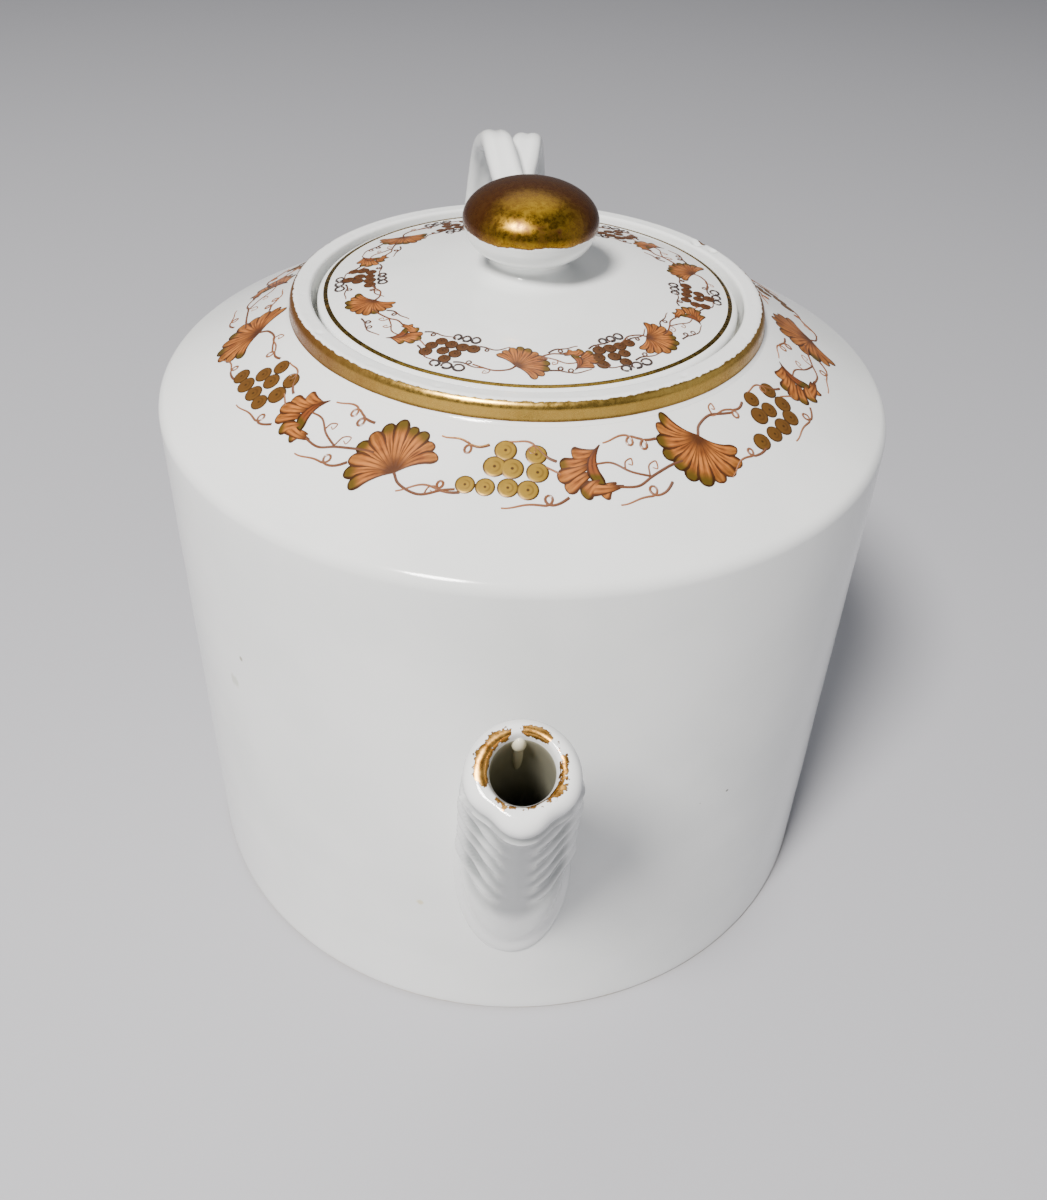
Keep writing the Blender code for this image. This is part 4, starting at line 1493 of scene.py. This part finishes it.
@dataclass
class Handle:
    """Two reeded straps, entwined, each end carried by a moulded leaf."""

    shop: Workshop
    finishes: Finishes
    width: float = 6.4 * MM
    thickness: float = 4.1 * MM
    groove: float = 0.28 * MM
    crossing_rise: float = 2.45 * MM
    run_in: float = 11.0 * MM            # each end runs on into the wall by this much
    rings: int = 150
    side_view: tuple = ((60.6, 78.5), (69.7, 92.0), (82.5, 98.6), (93.8, 93.4), (99.5, 80.0),
                        (99.0, 64.0), (91.0, 47.0), (78.5, 34.0), (61.4, 26.0))
    sway: tuple = ((0.0, 8.0), (0.13, 0.0), (0.24, -3.3), (0.42, -6.0), (0.57, -7.6),
                   (0.72, -5.0), (0.87, 0.0), (1.0, 8.0))
    # Share of the way, which strap is over, and the reach of full lift and of any lift.
    crossings: tuple = ((0.155, 1, 0.045, 0.115), (0.87, -1, 0.07, 0.2))
    leaf_length: float = 22.0 * MM
    leaf_width: float = 13.0 * MM
    leaf_depth: float = 2.6 * MM
    vein_depth: float = 0.36 * MM
    leaf_spread: float = 8.0 * MM
    leaf_tilt: float = math.radians(25)
    leaf_heights: tuple = (("upper", 73.0 * MM), ("lower", 23.5 * MM))

    def centre_line(self) -> list[tuple[float, Vector, Vector]]:
        """Evenly spread (share, centre, outward direction) along the handle's side view.

        Returns:
            One entry for each ring of a strap.
        """
        last, fine = len(self.side_view) - 1, 600
        out, up = ([(i / last, p[axis]) for i, p in enumerate(self.side_view)]
                   for axis in (0, 1))
        line = [Vector((0, smooth_value(out, i / fine), smooth_value(up, i / fine))) * MM
                for i in range(fine + 1)]
        runs = [0.0]
        for a, b in zip(line, line[1:]):
            runs.append(runs[-1] + (b - a).length)
        found, i = [], 0
        for step in range(self.rings):
            share = step / (self.rings - 1)
            while i < fine - 1 and runs[i] < runs[-1] * share:
                i += 1
            tangent = (line[min(i + 1, fine)] - line[max(i - 1, 0)]).normalized()
            found.append((share, line[i], Vector((0, -tangent.z, tangent.y))))
        return found

    def lift(self, share: float) -> float:
        """How far a strap stands over or under the other at a share of the way."""
        return self.crossing_rise * sum(
            sign * (1 - ease(abs(share - crossing), full_within, level_beyond))
            for crossing, sign, full_within, level_beyond in self.crossings)

    def strap(self, name: str, side: int) -> Piece:
        """One strap, drawn by the strap group along its own line.

        Args:
            name: the piece's name.
            side: 1 or -1, the hand of the strap.

        Returns:
            The strap.
        """
        line = []
        for share, centre, outward in self.centre_line():
            sideways = SIDEWAYS * side * smooth_value(self.sway, share) * MM
            line.append(centre + sideways + outward * side * self.lift(share))
        line.insert(0, line[0] + (line[0] - line[1]).normalized() * self.run_in)
        line.append(line[-1] + (line[-1] - line[-2]).normalized() * self.run_in)
        across_all, facing_all = [], []
        for i in range(len(line)):
            tangent = (line[min(i + 1, len(line) - 1)] - line[max(i - 1, 0)]).normalized()
            across_all.append((SIDEWAYS - tangent * tangent.x).normalized())
            facing_all.append(tangent.cross(across_all[-1]))
        path = line_object(name + "_line", line)
        set_attribute(path.data, "across", "FLOAT_VECTOR", across_all)
        set_attribute(path.data, "facing", "FLOAT_VECTOR", facing_all)
        section = line_object(name + "_section", self.section(), closed=True)
        strap = run_group(self.shop.straps, name, {
            "Line": path, "Section": section, "Merge": MERGE,
            "Finish": self.finishes.white}, path, section)
        with editing(strap.data) as bm:
            bmesh.ops.holes_fill(bm, edges=[edge for edge in bm.edges if edge.is_boundary])
        for vertex in strap.data.vertices:
            vertex.co = within_wall(vertex.co)
        strap.data.transform(HANDLE_SKEW)
        return face_outwards(strap)

    def section(self) -> list[tuple[float, float, float]]:
        """The strap's section: rounded, with a shallow groove along both broad faces.

        Returns:
            Its points, across and out of the strap.
        """
        points, count = [], 44
        for i in range(count):
            c, s = math.cos(math.tau * i / count), math.sin(math.tau * i / count)
            x = math.copysign(abs(c) ** 0.62, c) * self.width / 2
            y = math.copysign(abs(s) ** 0.8, s) * self.thickness / 2
            dip = self.groove * bell(x, 0.0, 0.75 * MM)
            points.append((x, y - math.copysign(dip, s) * abs(s), 0.0))
        return points

    def leaf(self, name: str, side: int, height: float, tilt: float) -> Piece:
        """A moulded leaf luted to the wall, veined and notched round its edge.

        Args:
            name: the piece's name.
            side: 1 or -1, the side of the handle.
            height: height of its middle.
            tilt: lean of its length from upright.

        Returns:
            The leaf.
        """
        rows, columns = 72, 36

        def on_wall(along: float, across: float, depth: float) -> Vector:
            """A point of the leaf, wrapped on the drum.

            Args:
                along: metres along the leaf from its middle.
                across: metres across it.
                depth: metres above the wall.

            Returns:
                The point.
            """
            x = side * self.leaf_spread + along * math.sin(tilt) * side + across * math.cos(tilt)
            z = height + along * math.cos(tilt) - across * math.sin(tilt) * side
            radius = SHAPE.wall_radius(z) + depth
            turn = x / SHAPE.wall_radius(z)
            return Vector((radius * math.sin(turn), radius * math.cos(turn), z))

        rings = []
        for i in range(rows + 1):
            share = 0.015 + 0.97 * i / rows
            swell = math.sin(math.pi * share)
            along = (share - 0.5) * self.leaf_length
            notch = 1 - 0.16 * abs(math.sin(4.5 * math.pi * share)) ** 6
            half = self.leaf_width / 2 * swell ** 0.7 * notch
            ring = []
            for k in range(columns + 1):
                across = -1 + 2 * k / columns
                edge = (1 - across ** 4) ** 0.5
                vein = bell(across, 0.0, 0.07)
                side_vein = math.cos(math.pi * 9 * (share + 0.16 * abs(across))) ** 8
                depth = self.leaf_depth * swell ** 0.6 * (0.62 + 0.1 * vein)
                depth *= 1 - 0.25 * across * across
                depth -= self.vein_depth * side_vein * (1 - vein) * swell
                ring.append(on_wall(along, across * half, depth * edge - 0.05 * MM))
            ring += [on_wall(along, (1 - 2 * k / columns) * half, -0.4 * MM)
                     for k in range(columns + 1)]
            rings.append(ring)
        piece = skin(name, rings, False, self.finishes.white)
        piece.data.transform(HANDLE_SKEW)
        return piece

    def build(self) -> None:
        """Makes both straps and all four leaves."""
        for hand, side in (("right", 1), ("left", -1)):
            strap = self.strap("strap_" + hand, side)
            place_piece(strap, Body.POT, "white_glaze", "handle_strap_" + hand)
            for end, height in self.leaf_heights:
                tilt = self.leaf_tilt if end == "upper" else math.pi - self.leaf_tilt
                leaf = self.leaf(f"moulded_leaf_{end}_{hand}", side, height, tilt)
                place_piece(leaf, Body.POT, "white_glaze", f"leaf_{end}_{hand}")


@dataclass
class Lid:
    """The lid: a low dome on a locating flange, a waisted stem, the gilt line and the knob."""

    shop: Workshop
    finishes: Finishes
    flange_radius: float = 24.6 * MM
    flange_wall: float = 3.2 * MM
    flange_bottom: float = 90.5 * MM
    underside: float = 99.75 * MM
    waist: float = 5.5 * MM
    waist_height: float = 107.7 * MM
    foot: float = 9.4 * MM
    knob_radius: float = 9.9 * MM
    knob_half_height: float = 5.4 * MM
    knob_centre: float = 113.7 * MM
    line_radius: float = 30.15 * MM
    line_width: float = 0.65 * MM
    funnel: tuple = ((9.72, 112.7), (9.3, 111.45), (8.45, 110.2), (7.3, 109.3), (6.3, 108.75),
                     (5.75, 108.3), (5.5, 107.7))

    def stem_outline(self) -> list[Pair]:
        """From inside the knob, out to its widest line, then down one easy curve to the dome.

        Returns:
            Its (radius, height) points.
        """
        inside = self.knob_centre - 1.5 * MM
        points = [(0.0, inside), (7.0 * MM, inside)]
        points += smooth_path([(r * MM, z * MM) for r, z in self.funnel], 4)
        drop = self.waist_height - SHAPE.lid_at(self.foot)
        for i in range(1, 13):
            turn = math.pi / 2 * i / 12
            points.append((self.waist + (self.foot - self.waist) * (1 - math.cos(turn)),
                           self.waist_height - drop * math.sin(turn)))
        return points

    def outline(self) -> list[Pair]:
        """The lid's whole section, from the axis in the knob to the axis under the dome.

        Returns:
            Its (radius, height) points.
        """
        s, under, low = SHAPE, self.underside, self.flange_bottom
        outer, inner = self.flange_radius, self.flange_radius - self.flange_wall
        edge = s.lid_radius - 1.0 * MM
        points = self.stem_outline()
        points += [(r, s.lid_at(r)) for r, _ in straight((self.foot + 0.8 * MM, 0), (edge, 0), 26)]
        points += arc((edge, s.lid_at(edge) - 1.0 * MM), 1.0 * MM, 86, 0, 8)
        points += straight((s.lid_radius, 101.6 * MM), (s.lid_radius, 100.4 * MM), 3)
        points += arc((s.lid_radius - 0.6 * MM, under + 0.6 * MM), 0.6 * MM, 0, -90, 4)
        points += straight((s.lid_radius - 1.4 * MM, under), (outer + 0.6 * MM, under), 5)
        points += [(outer + 0.15 * MM, under - 0.35 * MM)]
        points += straight((outer, under - 1 * MM), (outer - 0.5 * MM, low + 1 * MM), 6)
        points += arc((outer - 1.5 * MM, low + 1.0 * MM), 1.0 * MM, 0, -90, 5)
        points += arc((inner + 0.8 * MM, low + 0.8 * MM), 0.8 * MM, -90, -180, 4)
        points += straight((inner, low + 1.6 * MM), (inner, 99.0 * MM), 5)
        points += [(inner - 1.0 * MM, 100.2 * MM), (16.4 * MM, 102.0 * MM)]
        points += straight((14 * MM, 102.4 * MM), (2 * MM, 102.7 * MM), 6)
        return points + [(0.0, 102.7 * MM)]

    def build(self) -> None:
        """Makes the lid's skin, its gilt line and the knob."""
        lid = self.shop.turn("lid_skin", self.outline(), self.finishes.white,
                             unevenness=0.12 * MM)
        place_piece(lid, Body.LID, "white_glaze", "lid_plate", "lid_flange", "knob_stem")
        self.build_line()
        self.build_knob()

    def build_line(self) -> None:
        """The brushed gold line just inside the lid's edge."""
        proud, count, top = 0.045 * MM, 8, []
        for i in range(count + 1):
            across = 1 - 2 * i / count
            radius = self.line_radius + self.line_width / 2 * across
            top.append((radius, SHAPE.lid_at(radius) + 0.05 * MM + proud * (1 - across ** 4)))
        low = [(radius, SHAPE.lid_at(radius) - 0.15 * MM) for radius, _ in reversed(top)]
        ring = self.shop.turn("lid_gold_line", top + low + top[:1], self.finishes.line,
                              steps=2 * AROUND)
        for vertex in ring.data.vertices:
            wander = noise.noise(vertex.co.normalized() * 9.0) * 0.09 * MM
            vertex.co += Vector((vertex.co.x, vertex.co.y, 0)).normalized() * wander
        place_piece(ring, Body.LID, "collar_gilding")

    def build_knob(self) -> None:
        """The flattened ball knob, very slightly lopsided as a hand-thrown one is."""
        outline = [(max(self.knob_radius * x, 0.0), self.knob_centre + self.knob_half_height * z)
                   for x, z in arc((0.0, 0.0), 1.0, -90, 90, 48)]
        knob = self.shop.turn("knob_ball", outline, self.finishes.knob, steps=128,
                              unevenness=0.16 * MM)
        place_piece(knob, Body.LID, "knob_gilding", "knob")


# The painted borders


@dataclass(frozen=True)
class Ground:
    """A turned surface that a border is painted on."""

    middle: float                        # radius of the border's centre line
    height: Callable[[float], float]
    scale: float                         # size of the motifs
    heading: int                         # 1: the vine grows towards +angle, -1: the other way
    body: Body
    slot: str

    def place(self, angle: float, x: float, y: float, lift: float) -> Vector:
        """A point of the surface from flat drawing coordinates.

        Args:
            angle: station of the motif, in degrees from the front.
            x: millimetres along the vine.
            y: millimetres towards the axis.
            lift: metres above the glaze.

        Returns:
            The point.
        """
        x, y = (v * self.scale * self.heading * MM for v in (x, y))
        radius, step = self.middle - y, 0.1 * MM
        turn = math.radians(angle) + x / self.middle
        fall = (self.height(radius + step) - self.height(radius - step)) / (2 * step)
        outward = Vector((math.sin(turn), -math.cos(turn), 0.0))
        up = Vector((0, 0, 1))
        return outward * radius + up * self.height(radius) + (up - outward * fall).normalized() * lift


class LeafPose(Enum):
    """The two ways that the big leaf is painted: (base, middle direction, vine end)."""

    RISING = ((1.1, -2.1), 125.0, (8.9, -2.6))
    DROOPING = ((1.6, 2.0), 228.0, (9.6, 2.9))


@dataclass(frozen=True)
class Petal:
    """One brushed lobe: from its base to its tip, bowed sideways."""

    base: Pair
    tip: Pair
    bow: float
    half_width: float
    tone: float                          # 0 plain, 1 gilt tip, 2 in a dark fold


@dataclass
class VineBorder:
    """A running vine: fan leaves, curled leaves, grapes and tendrils."""

    name: str
    ground: Ground
    shop: Workshop
    finishes: Finishes
    stations: tuple                      # angle of each big leaf, in vine order
    seed: int
    grape_finish: Coat
    ringed: bool = False                 # whether chains of small rings flank the grapes
    lift: float = 0.03 * MM
    grape_share: float = 0.35            # places of the motifs between two big leaves
    curl_share: float = 0.615
    widest: float = 0.79                 # share along a lobe where it is widest
    petal_rows: tuple = (0.0, 0.12, 0.26, 0.4, 0.54, 0.67, 0.79, 0.87, 0.93, 0.97, 0.99, 1.0)
    petal_columns: int = 6
    grape_rows: tuple = ((1, 0.1, 3.0), (2, -1.1, 0.7), (4, -4.2, -1.9), (1, 4.5, 2.5),
                         (1, 4.6, 0.2))
    curled_lobes: tuple = (((2.0, 2.8), (-1.7, 2.5), 0.3), ((1.4, 2.0), (-3.4, 1.0), 0.2),
                           ((1.0, 1.1), (-3.8, -0.6), 0.0), ((1.1, 0.2), (-2.9, -2.1), -0.2),
                           ((1.8, -0.8), (-0.9, -3.0), -0.3), ((3.4, -1.5), (1.3, -3.1), -0.3),
                           ((4.2, -2.0), (-0.9, -1.7), 0.3))

    def __post_init__(self) -> None:
        """Starts with an empty drawing."""
        self.random = random.Random(self.seed)
        self.points: list[Vector] = []
        self.faces: list[tuple[int, ...]] = []
        self.lobe_map: list[Pair] = []
        self.tones: list[float] = []
        self.stroke_starts: list[int] = []
        self.strokes: list[tuple[Vector, float, float]] = []     # point, width, fade
        self.grapes: list[tuple[Vector, Vector, float]] = []     # place, facing, size

    def add_petal(self, angle: float, petal: Petal, layer: float) -> None:
        """Adds one lobe's faces to the drawing.

        Args:
            angle: station of its leaf.
            petal: the lobe, in flat millimetres.
            layer: its own small height over the glaze, so that lobes overlap cleanly.
        """
        base, run = Vector(petal.base), Vector(petal.tip) - Vector(petal.base)
        aside = Vector((-run.y, run.x)).normalized()
        start, columns = len(self.points), self.petal_columns
        for u in self.petal_rows:
            if u < self.widest:
                share = 0.1 + 0.9 * (u / self.widest) ** 0.85
            else:
                past = (u - self.widest) / (1 - self.widest)
                share = max(1 - past ** 2, 0.0) ** 0.5 + 0.03
            bend = aside * petal.bow * 4 * u * (1 - u)
            for k in range(columns + 1):
                v = -1 + 2 * k / columns
                flat = base + run * u + bend + aside * petal.half_width * share * v
                crown = 0.03 * MM * (1 - v * v) * math.sin(math.pi * min(u + 0.1, 1.0))
                self.points.append(self.ground.place(angle, flat.x, flat.y,
                                                     self.lift + layer + crown))
                self.lobe_map.append((u, v))
                self.tones.append(petal.tone)
        for i in range(len(self.petal_rows) - 1):
            for k in range(columns):
                a = start + i * (columns + 1) + k
                self.faces.append((a, a + 1, a + columns + 2, a + columns + 1))

    def add_fan(self, angle: float, pose: LeafPose) -> None:
        """The big leaf: eleven lobes spread from one point, longest in the middle.

        Args:
            angle: its station.
            pose: how it is painted.
        """
        count = 11
        base, heading, _ = pose.value
        for i in range(count):
            off = -1 + 2 * i / (count - 1)
            turn = math.radians(heading + 92 * off)
            length = (6.8 - 1.1 * off * off) * self.random.uniform(0.94, 1.05)
            tip = (base[0] + length * math.cos(turn), base[1] + length * math.sin(turn))
            half = 0.79 * length * math.tan(math.radians(184 / (count - 1)) / 2) * 1.3
            tone = 1.0 if self.random.random() < 0.45 else 0.25
            layer = (0.008 if i % 2 else 0.024) * MM
            self.add_petal(angle, Petal(base, tip, -0.7 * off, half, tone), layer)

    def add_curled(self, angle: float) -> None:
        """The leaf seen half turned: a scalloped fold with a dark horn curling over it.

        Args:
            angle: its station.
        """
        for i, (base, tip, bow) in enumerate(self.curled_lobes):
            petal = Petal(base, tip, bow, 1.0, self.random.choice((0.2, 0.9)))
            self.add_petal(angle, petal, (0.008 if i % 2 else 0.02) * MM)
        self.add_petal(angle, Petal((2.4, 3.4), (1.6, -1.7), -1.2, 0.95, 2.0), 0.036 * MM)

    def add_grapes(self, angle: float) -> None:
        """The bunch: overlapping discs in staggered rows.

        Args:
            angle: its station.
        """
        for count, x, y in self.grape_rows:
            for i in range(count):
                spot = (x + 2.55 * i + self.random.uniform(-0.15, 0.15),
                        y + self.random.uniform(-0.15, 0.15))
                layer = (0.006 + 0.006 * (len(self.grapes) % 4)) * MM
                over, on = (self.ground.place(angle, *spot, lift) for lift in (1 * MM, 0))
                size = self.random.uniform(1.28, 1.5) * self.ground.scale
                place = self.ground.place(angle, *spot, self.lift + layer)
                self.grapes.append((place, (over - on).normalized(), size))

    def add_stroke(self, angle: float, path: Sequence[Pair], widths: Pair, fades: Pair) -> None:
        """One brush stroke along a flat path.

        Args:
            angle: station that the path is drawn from.
            path: its points in millimetres.
            widths: width at the start and the end, in millimetres.
            fades: paleness at the start and the end, from -1 to 1.
        """
        self.stroke_starts.append(len(self.strokes))
        for i, (x, y) in enumerate(path):
            share = i / (len(path) - 1)
            width = (widths[0] + (widths[1] - widths[0]) * share) * self.ground.scale ** 0.5 * MM
            self.strokes.append((self.ground.place(angle, x, y, -0.2 * width), width,
                                 fades[0] + (fades[1] - fades[0]) * share))

    def add_tendril(self, angle: float, start: Pair, end: Pair, sag: float,
                    loops: Sequence[float], radius: float) -> None:
        """A thin tendril with small round pigtail loops, fading towards its end.

        Args:
            angle: station that it is drawn from.
            start: where it leaves the vine.
            end: its free end.
            sag: how far its middle bows, to the left of its run.
            loops: share along the run of each loop.
            radius: radius of the loops, negative to turn the other way.
        """
        run = Vector(end) - Vector(start)
        ahead = run.normalized()
        aside = Vector((-ahead.y, ahead.x))
        half, count, path = 0.075, 110, []
        for i in range(count + 1):
            t = i / count
            wave = 0.3 * math.sin(math.tau * 1.25 * t)
            spot = Vector(start) + run * t + aside * (sag * math.sin(math.pi * t) + wave)
            for place in loops:
                phase = math.tau * ease(t, place - half, place + half)
                spot += ahead * math.sin(phase) * abs(radius)
                spot += aside * (1 - math.cos(phase)) * radius
            path.append((spot.x, spot.y))
        self.add_stroke(angle, path, (0.5, 0.27), (-0.7, 0.3) if self.ringed else (0.0, 0.6))

    def add_rings(self, angle: float, x: float, y: float) -> None:
        """A chain of three small dark rings beside the grapes.

        Args:
            angle: station that it is drawn from.
            x: millimetres along the vine.
            y: millimetres towards the axis.
        """
        for k in range(3):
            radius = 1.0 - 0.06 * k
            ring = [(x + 2.3 * k + radius * math.cos(0.35 * i + k),
                     y + 0.15 * k + radius * math.sin(0.35 * i + k)) for i in range(18)]
            self.add_stroke(angle, ring, (0.66, 0.5), (-1.0, -0.7))

    def add_vine(self, angle: float, pose: LeafPose, pitch: float) -> None:
        """Stems, side curls and tendrils that join one big leaf to the next.

        Args:
            angle: station of the big leaf.
            pose: how that leaf is painted.
            pitch: millimetres of vine from this leaf to the next.
        """
        grapes, curl = pitch * self.grape_share, pitch * self.curl_share
        (x, y), _, end = pose.value
        dip = math.copysign(1.5, y)
        for path, widths, fades in (
                (((x, y), (x + 1.2, y + 0.8 * dip), (x + 3.8, y + 1.25 * dip),
                  (end[0] - 1.5, end[1] + 0.25 * dip), end), (0.5, 0.42), (0.0, 0.15)),
                (((grapes + 5.6, 0.9), (grapes + 7.2, 0.1), (curl - 3.4, -0.2)),
                 (0.34, 0.4), (0.5, 0.3)),
                (((curl + 3.6, -2.1), (curl + 6.0, -2.3), (curl + 8.2, -1.4),
                  (pitch - 4.6, -0.6), (pitch - 2.6, -0.4)), (0.42, 0.5), (0.1, 0.0)),
                (((curl + 0.8, 1.0), (curl + 3.4, 1.0), (curl + 5.6, -0.4),
                  (curl + 8.0, -1.4)), (0.34, 0.4), (0.2, 0.05))):
            self.add_stroke(angle, smooth_path(path, 8), widths, fades)
        for a, b, size in ((curl + 5.0, -0.1, 1.0), (curl + 7.9, -1.2, 1.2),
                           (x + 4.4, y + 1.2 * dip, 1.0)):
            hook = [(a + across * size, b + up * size) for across, up in (
                (0, 0), (0.3, 1.0), (1.2, 1.3), (1.1, 0.5), (0.6, 0.7))]
            self.add_stroke(angle, smooth_path(hook, 6), (0.32, 0.2), (0.2, 0.6))
        for tendril in (
                ((grapes - 2.0, 3.4), (grapes - 8.8, 4.0), 0.4, (0.4,), 0.62),
                ((grapes - 4.6, -2.9), (grapes - 12.0, -3.9), -0.5, (0.32,), -0.55),
                ((curl - 2.6, -2.9), (curl - 10.4, -4.0), 0.5, (0.3,), -0.62),
                ((grapes + 7.0, 1.6), (grapes + 0.6, 4.3), -0.6, (0.5,), 0.6),
                ((pitch - 4.8, 3.1), (pitch - 12.6, 3.9), -0.4, (0.26, 0.5), 0.64),
                ((pitch - 5.2, -2.6), (pitch - 12.4, -4.0), 0.7, (0.38,), -0.62)):
            self.add_tendril(angle, *tendril)
        if self.ringed:
            for aside in (-4.9, 4.7):
                self.add_rings(angle, grapes - 3.6, aside)

    def draw(self) -> None:
        """Draws the whole border, one repeat after another."""
        poses = (LeafPose.DROOPING, LeafPose.RISING)
        following = self.stations[1:] + self.stations[:1]
        for i, (angle, after) in enumerate(zip(self.stations, following)):
            step = (after - angle) * self.ground.heading % 360
            run = math.radians(step) * self.ground.middle / (self.ground.scale * MM)
            turned = self.ground.heading * step
            self.add_fan(angle, poses[i % 2])
            self.add_grapes(angle + turned * self.grape_share)
            self.add_curled(angle + turned * self.curl_share)
            self.add_vine(angle, poses[i % 2], run)

    def build(self) -> None:
        """Draws the border and turns it into three painted pieces."""
        self.draw()
        for piece in (self.leaf_piece(), self.grape_piece(), self.stroke_piece()):
            place_piece(piece, self.ground.body, self.ground.slot)

    def leaf_piece(self) -> Piece:
        """All lobes as one mesh with its Lobe map and tone attribute, facing up.

        Returns:
            The piece.
        """
        mesh = bpy.data.meshes.new(self.name + "_leaves")
        mesh.from_pydata(self.points, [], self.faces)
        layer = mesh.uv_layers.new(name="Lobe")
        for loop in mesh.loops:
            layer.data[loop.index].uv = self.lobe_map[loop.vertex_index]
        set_attribute(mesh, "tone", "FLOAT", self.tones)
        mesh.shade_smooth()
        mesh.materials.append(self.finishes.leaf)
        with editing(mesh) as bm:
            bm.normal_update()
            bmesh.ops.reverse_faces(bm, faces=[f for f in bm.faces if f.normal.z < 0])
        return link(self.name + "_leaves", mesh)

    def grape_form(self, name: str) -> Piece:
        """One low dome of 1 mm radius with its Round map, which the bunches repeat.

        Args:
            name: the form's name.

        Returns:
            The form.
        """
        sides, rings = 20, ((0.35, 0.045), (0.7, 0.035), (0.92, 0.012), (1.0, -0.04))
        mesh = bpy.data.meshes.new(name)
        with editing(mesh) as bm:
            centre = bm.verts.new((0, 0, 0.05 * MM))
            loops = [[bm.verts.new((r * MM * math.cos(math.tau * k / sides),
                                    r * MM * math.sin(math.tau * k / sides), h * MM))
                      for k in range(sides)] for r, h in rings]
            for k in range(sides):
                j = (k + 1) % sides
                bm.faces.new((centre, loops[0][k], loops[0][j]))
                for a, b in zip(loops, loops[1:]):
                    bm.faces.new((a[k], b[k], b[j], a[j]))
            layer = bm.loops.layers.uv.new("Round")
            for face in bm.faces:
                for loop in face.loops:
                    loop[layer].uv = (loop.vert.co.x / MM, loop.vert.co.y / MM)
        return link(name, mesh)

    def grape_piece(self) -> Piece:
        """All grapes: one low dome set on every place by the scatter group.

        Returns:
            The piece.
        """
        name = self.name + "_grapes"
        spots, facing, sizes = zip(*self.grapes)
        places = line_object(name + "_places", spots, breaks=range(len(spots)))
        set_attribute(places.data, "facing", "FLOAT_VECTOR", facing)
        set_attribute(places.data, "size", "FLOAT", sizes)
        form = self.grape_form(name + "_form")
        return run_group(self.shop.scatter, name, {
            "Places": places, "Form": form, "Finish": self.grape_finish}, places, form)

    def stroke_piece(self) -> Piece:
        """All stems and tendrils, swept by the stroke group.

        Returns:
            The piece.
        """
        name = self.name + "_strokes"
        spots, widths, fades = zip(*self.strokes)
        lines = line_object(name + "_lines", spots, breaks=self.stroke_starts)
        set_attribute(lines.data, "width", "FLOAT", widths)
        set_attribute(lines.data, "fade", "FLOAT", fades)
        return face_outwards(run_group(self.shop.strokes, name, {
            "Lines": lines, "Sides": 6, "Finish": self.finishes.stroke}, lines))


@dataclass
class Studio:
    """Pale floor, soft lights and the camera."""

    camera_place: Vector = field(
        default_factory=lambda: Vector((-2.686, -155.016, 171.164)) * MM)
    pitch: float = math.radians(39.738)
    roll: float = math.radians(2.570)
    heading: float = math.radians(-1.5)
    lens: float = 32.466
    floor_size: float = 6.0
    surround: float = 0.24
    aim: Vector = field(default_factory=lambda: Vector((0, 0, 0.06)))
    lights: tuple = (
        ("key_softbox", (-0.30, -0.50, 0.85), 0.24, 22.0, "#FFFCF8"),
        ("fill_softbox", (0.9, -0.15, 0.45), 1.0, 0.9, "#F2F6FF"),
        ("top_softbox", (0.0, 0.45, 1.1), 0.9, 2.6, "#FFFFFF"))

    def build(self) -> None:
        """Makes the floor, the lights, the pale surround and the camera."""
        self.build_floor()
        for name, place, size, power, colour in self.lights:
            data = bpy.data.lights.new(name, "AREA")
            data.shape, data.size, data.energy = "DISK", size, power
            data.color = linear(colour)[:3]
            light = bpy.data.objects.new(name, data)
            light.location = place
            aim = self.aim - light.location
            light.rotation_euler = aim.to_track_quat("-Z", "Y").to_euler()
            bpy.context.scene.collection.objects.link(light)
        world = bpy.data.worlds.new("pale_surround")
        world.use_nodes = True
        feed(world.node_tree.nodes["Background"], ("#D7DADF", self.surround))
        bpy.context.scene.world = world
        self.build_camera()

    def build_floor(self) -> None:
        """A plain pale sheet under the pot."""
        mesh = bpy.data.meshes.new("floor")
        with editing(mesh) as bm:
            bmesh.ops.create_grid(bm, x_segments=2, y_segments=2, size=self.floor_size / 2)
        mesh.materials.append(StudioPaper().build())
        link("floor", mesh)

    def build_camera(self) -> None:
        """A camera close in front of the pot, above it and looking down."""
        ahead = Vector((0, math.cos(self.pitch), -math.sin(self.pitch)))
        up = SIDEWAYS.cross(ahead)
        cam_right = SIDEWAYS * math.cos(self.roll) + up * math.sin(self.roll)
        cam_up = up * math.cos(self.roll) - SIDEWAYS * math.sin(self.roll)
        turn = Matrix.Rotation(self.heading, 3, "Z")
        columns = [turn @ v for v in (cam_right, cam_up, -ahead)]
        data = bpy.data.cameras.new("camera")
        data.lens, data.sensor_width, data.clip_start = self.lens, 36.0, 0.01
        camera = bpy.data.objects.new("camera", data)
        bpy.context.scene.collection.objects.link(camera)
        camera.matrix_world = Matrix(columns).transposed().to_4x4()
        camera.location = self.camera_place
        bpy.context.scene.camera = camera


def main() -> None:
    """Builds every piece round the frame, then the studio."""
    logging.basicConfig(level=logging.INFO, format="%(name)s: %(message)s")
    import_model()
    shop = Workshop()
    finishes = Finishes()
    Drum(shop, finishes).build()
    Collar(shop, finishes).build()
    Spout(finishes).build()
    Handle(shop, finishes).build()
    Lid(shop, finishes).build()
    VineBorder("shoulder_vine",
               Ground(42.0 * MM, SHAPE.shoulder_at, 1.0, 1, Body.POT, "white_glaze"),
               shop, finishes, (-80.6, -23.6, 31.5, 88.3, 152.0, 215.7), seed=11,
               grape_finish=finishes.grape).build()
    VineBorder("lid_vine",
               Ground(24.9 * MM, SHAPE.lid_at, 0.66, -1, Body.LID, "white_glaze"),
               shop, finishes, (105.0, 45.2, -1.4, -67.7, -127.3, -191.0), seed=23,
               grape_finish=finishes.dark_grape, ringed=True).build()
    Studio().build()


if __name__ == "__main__":
    main()
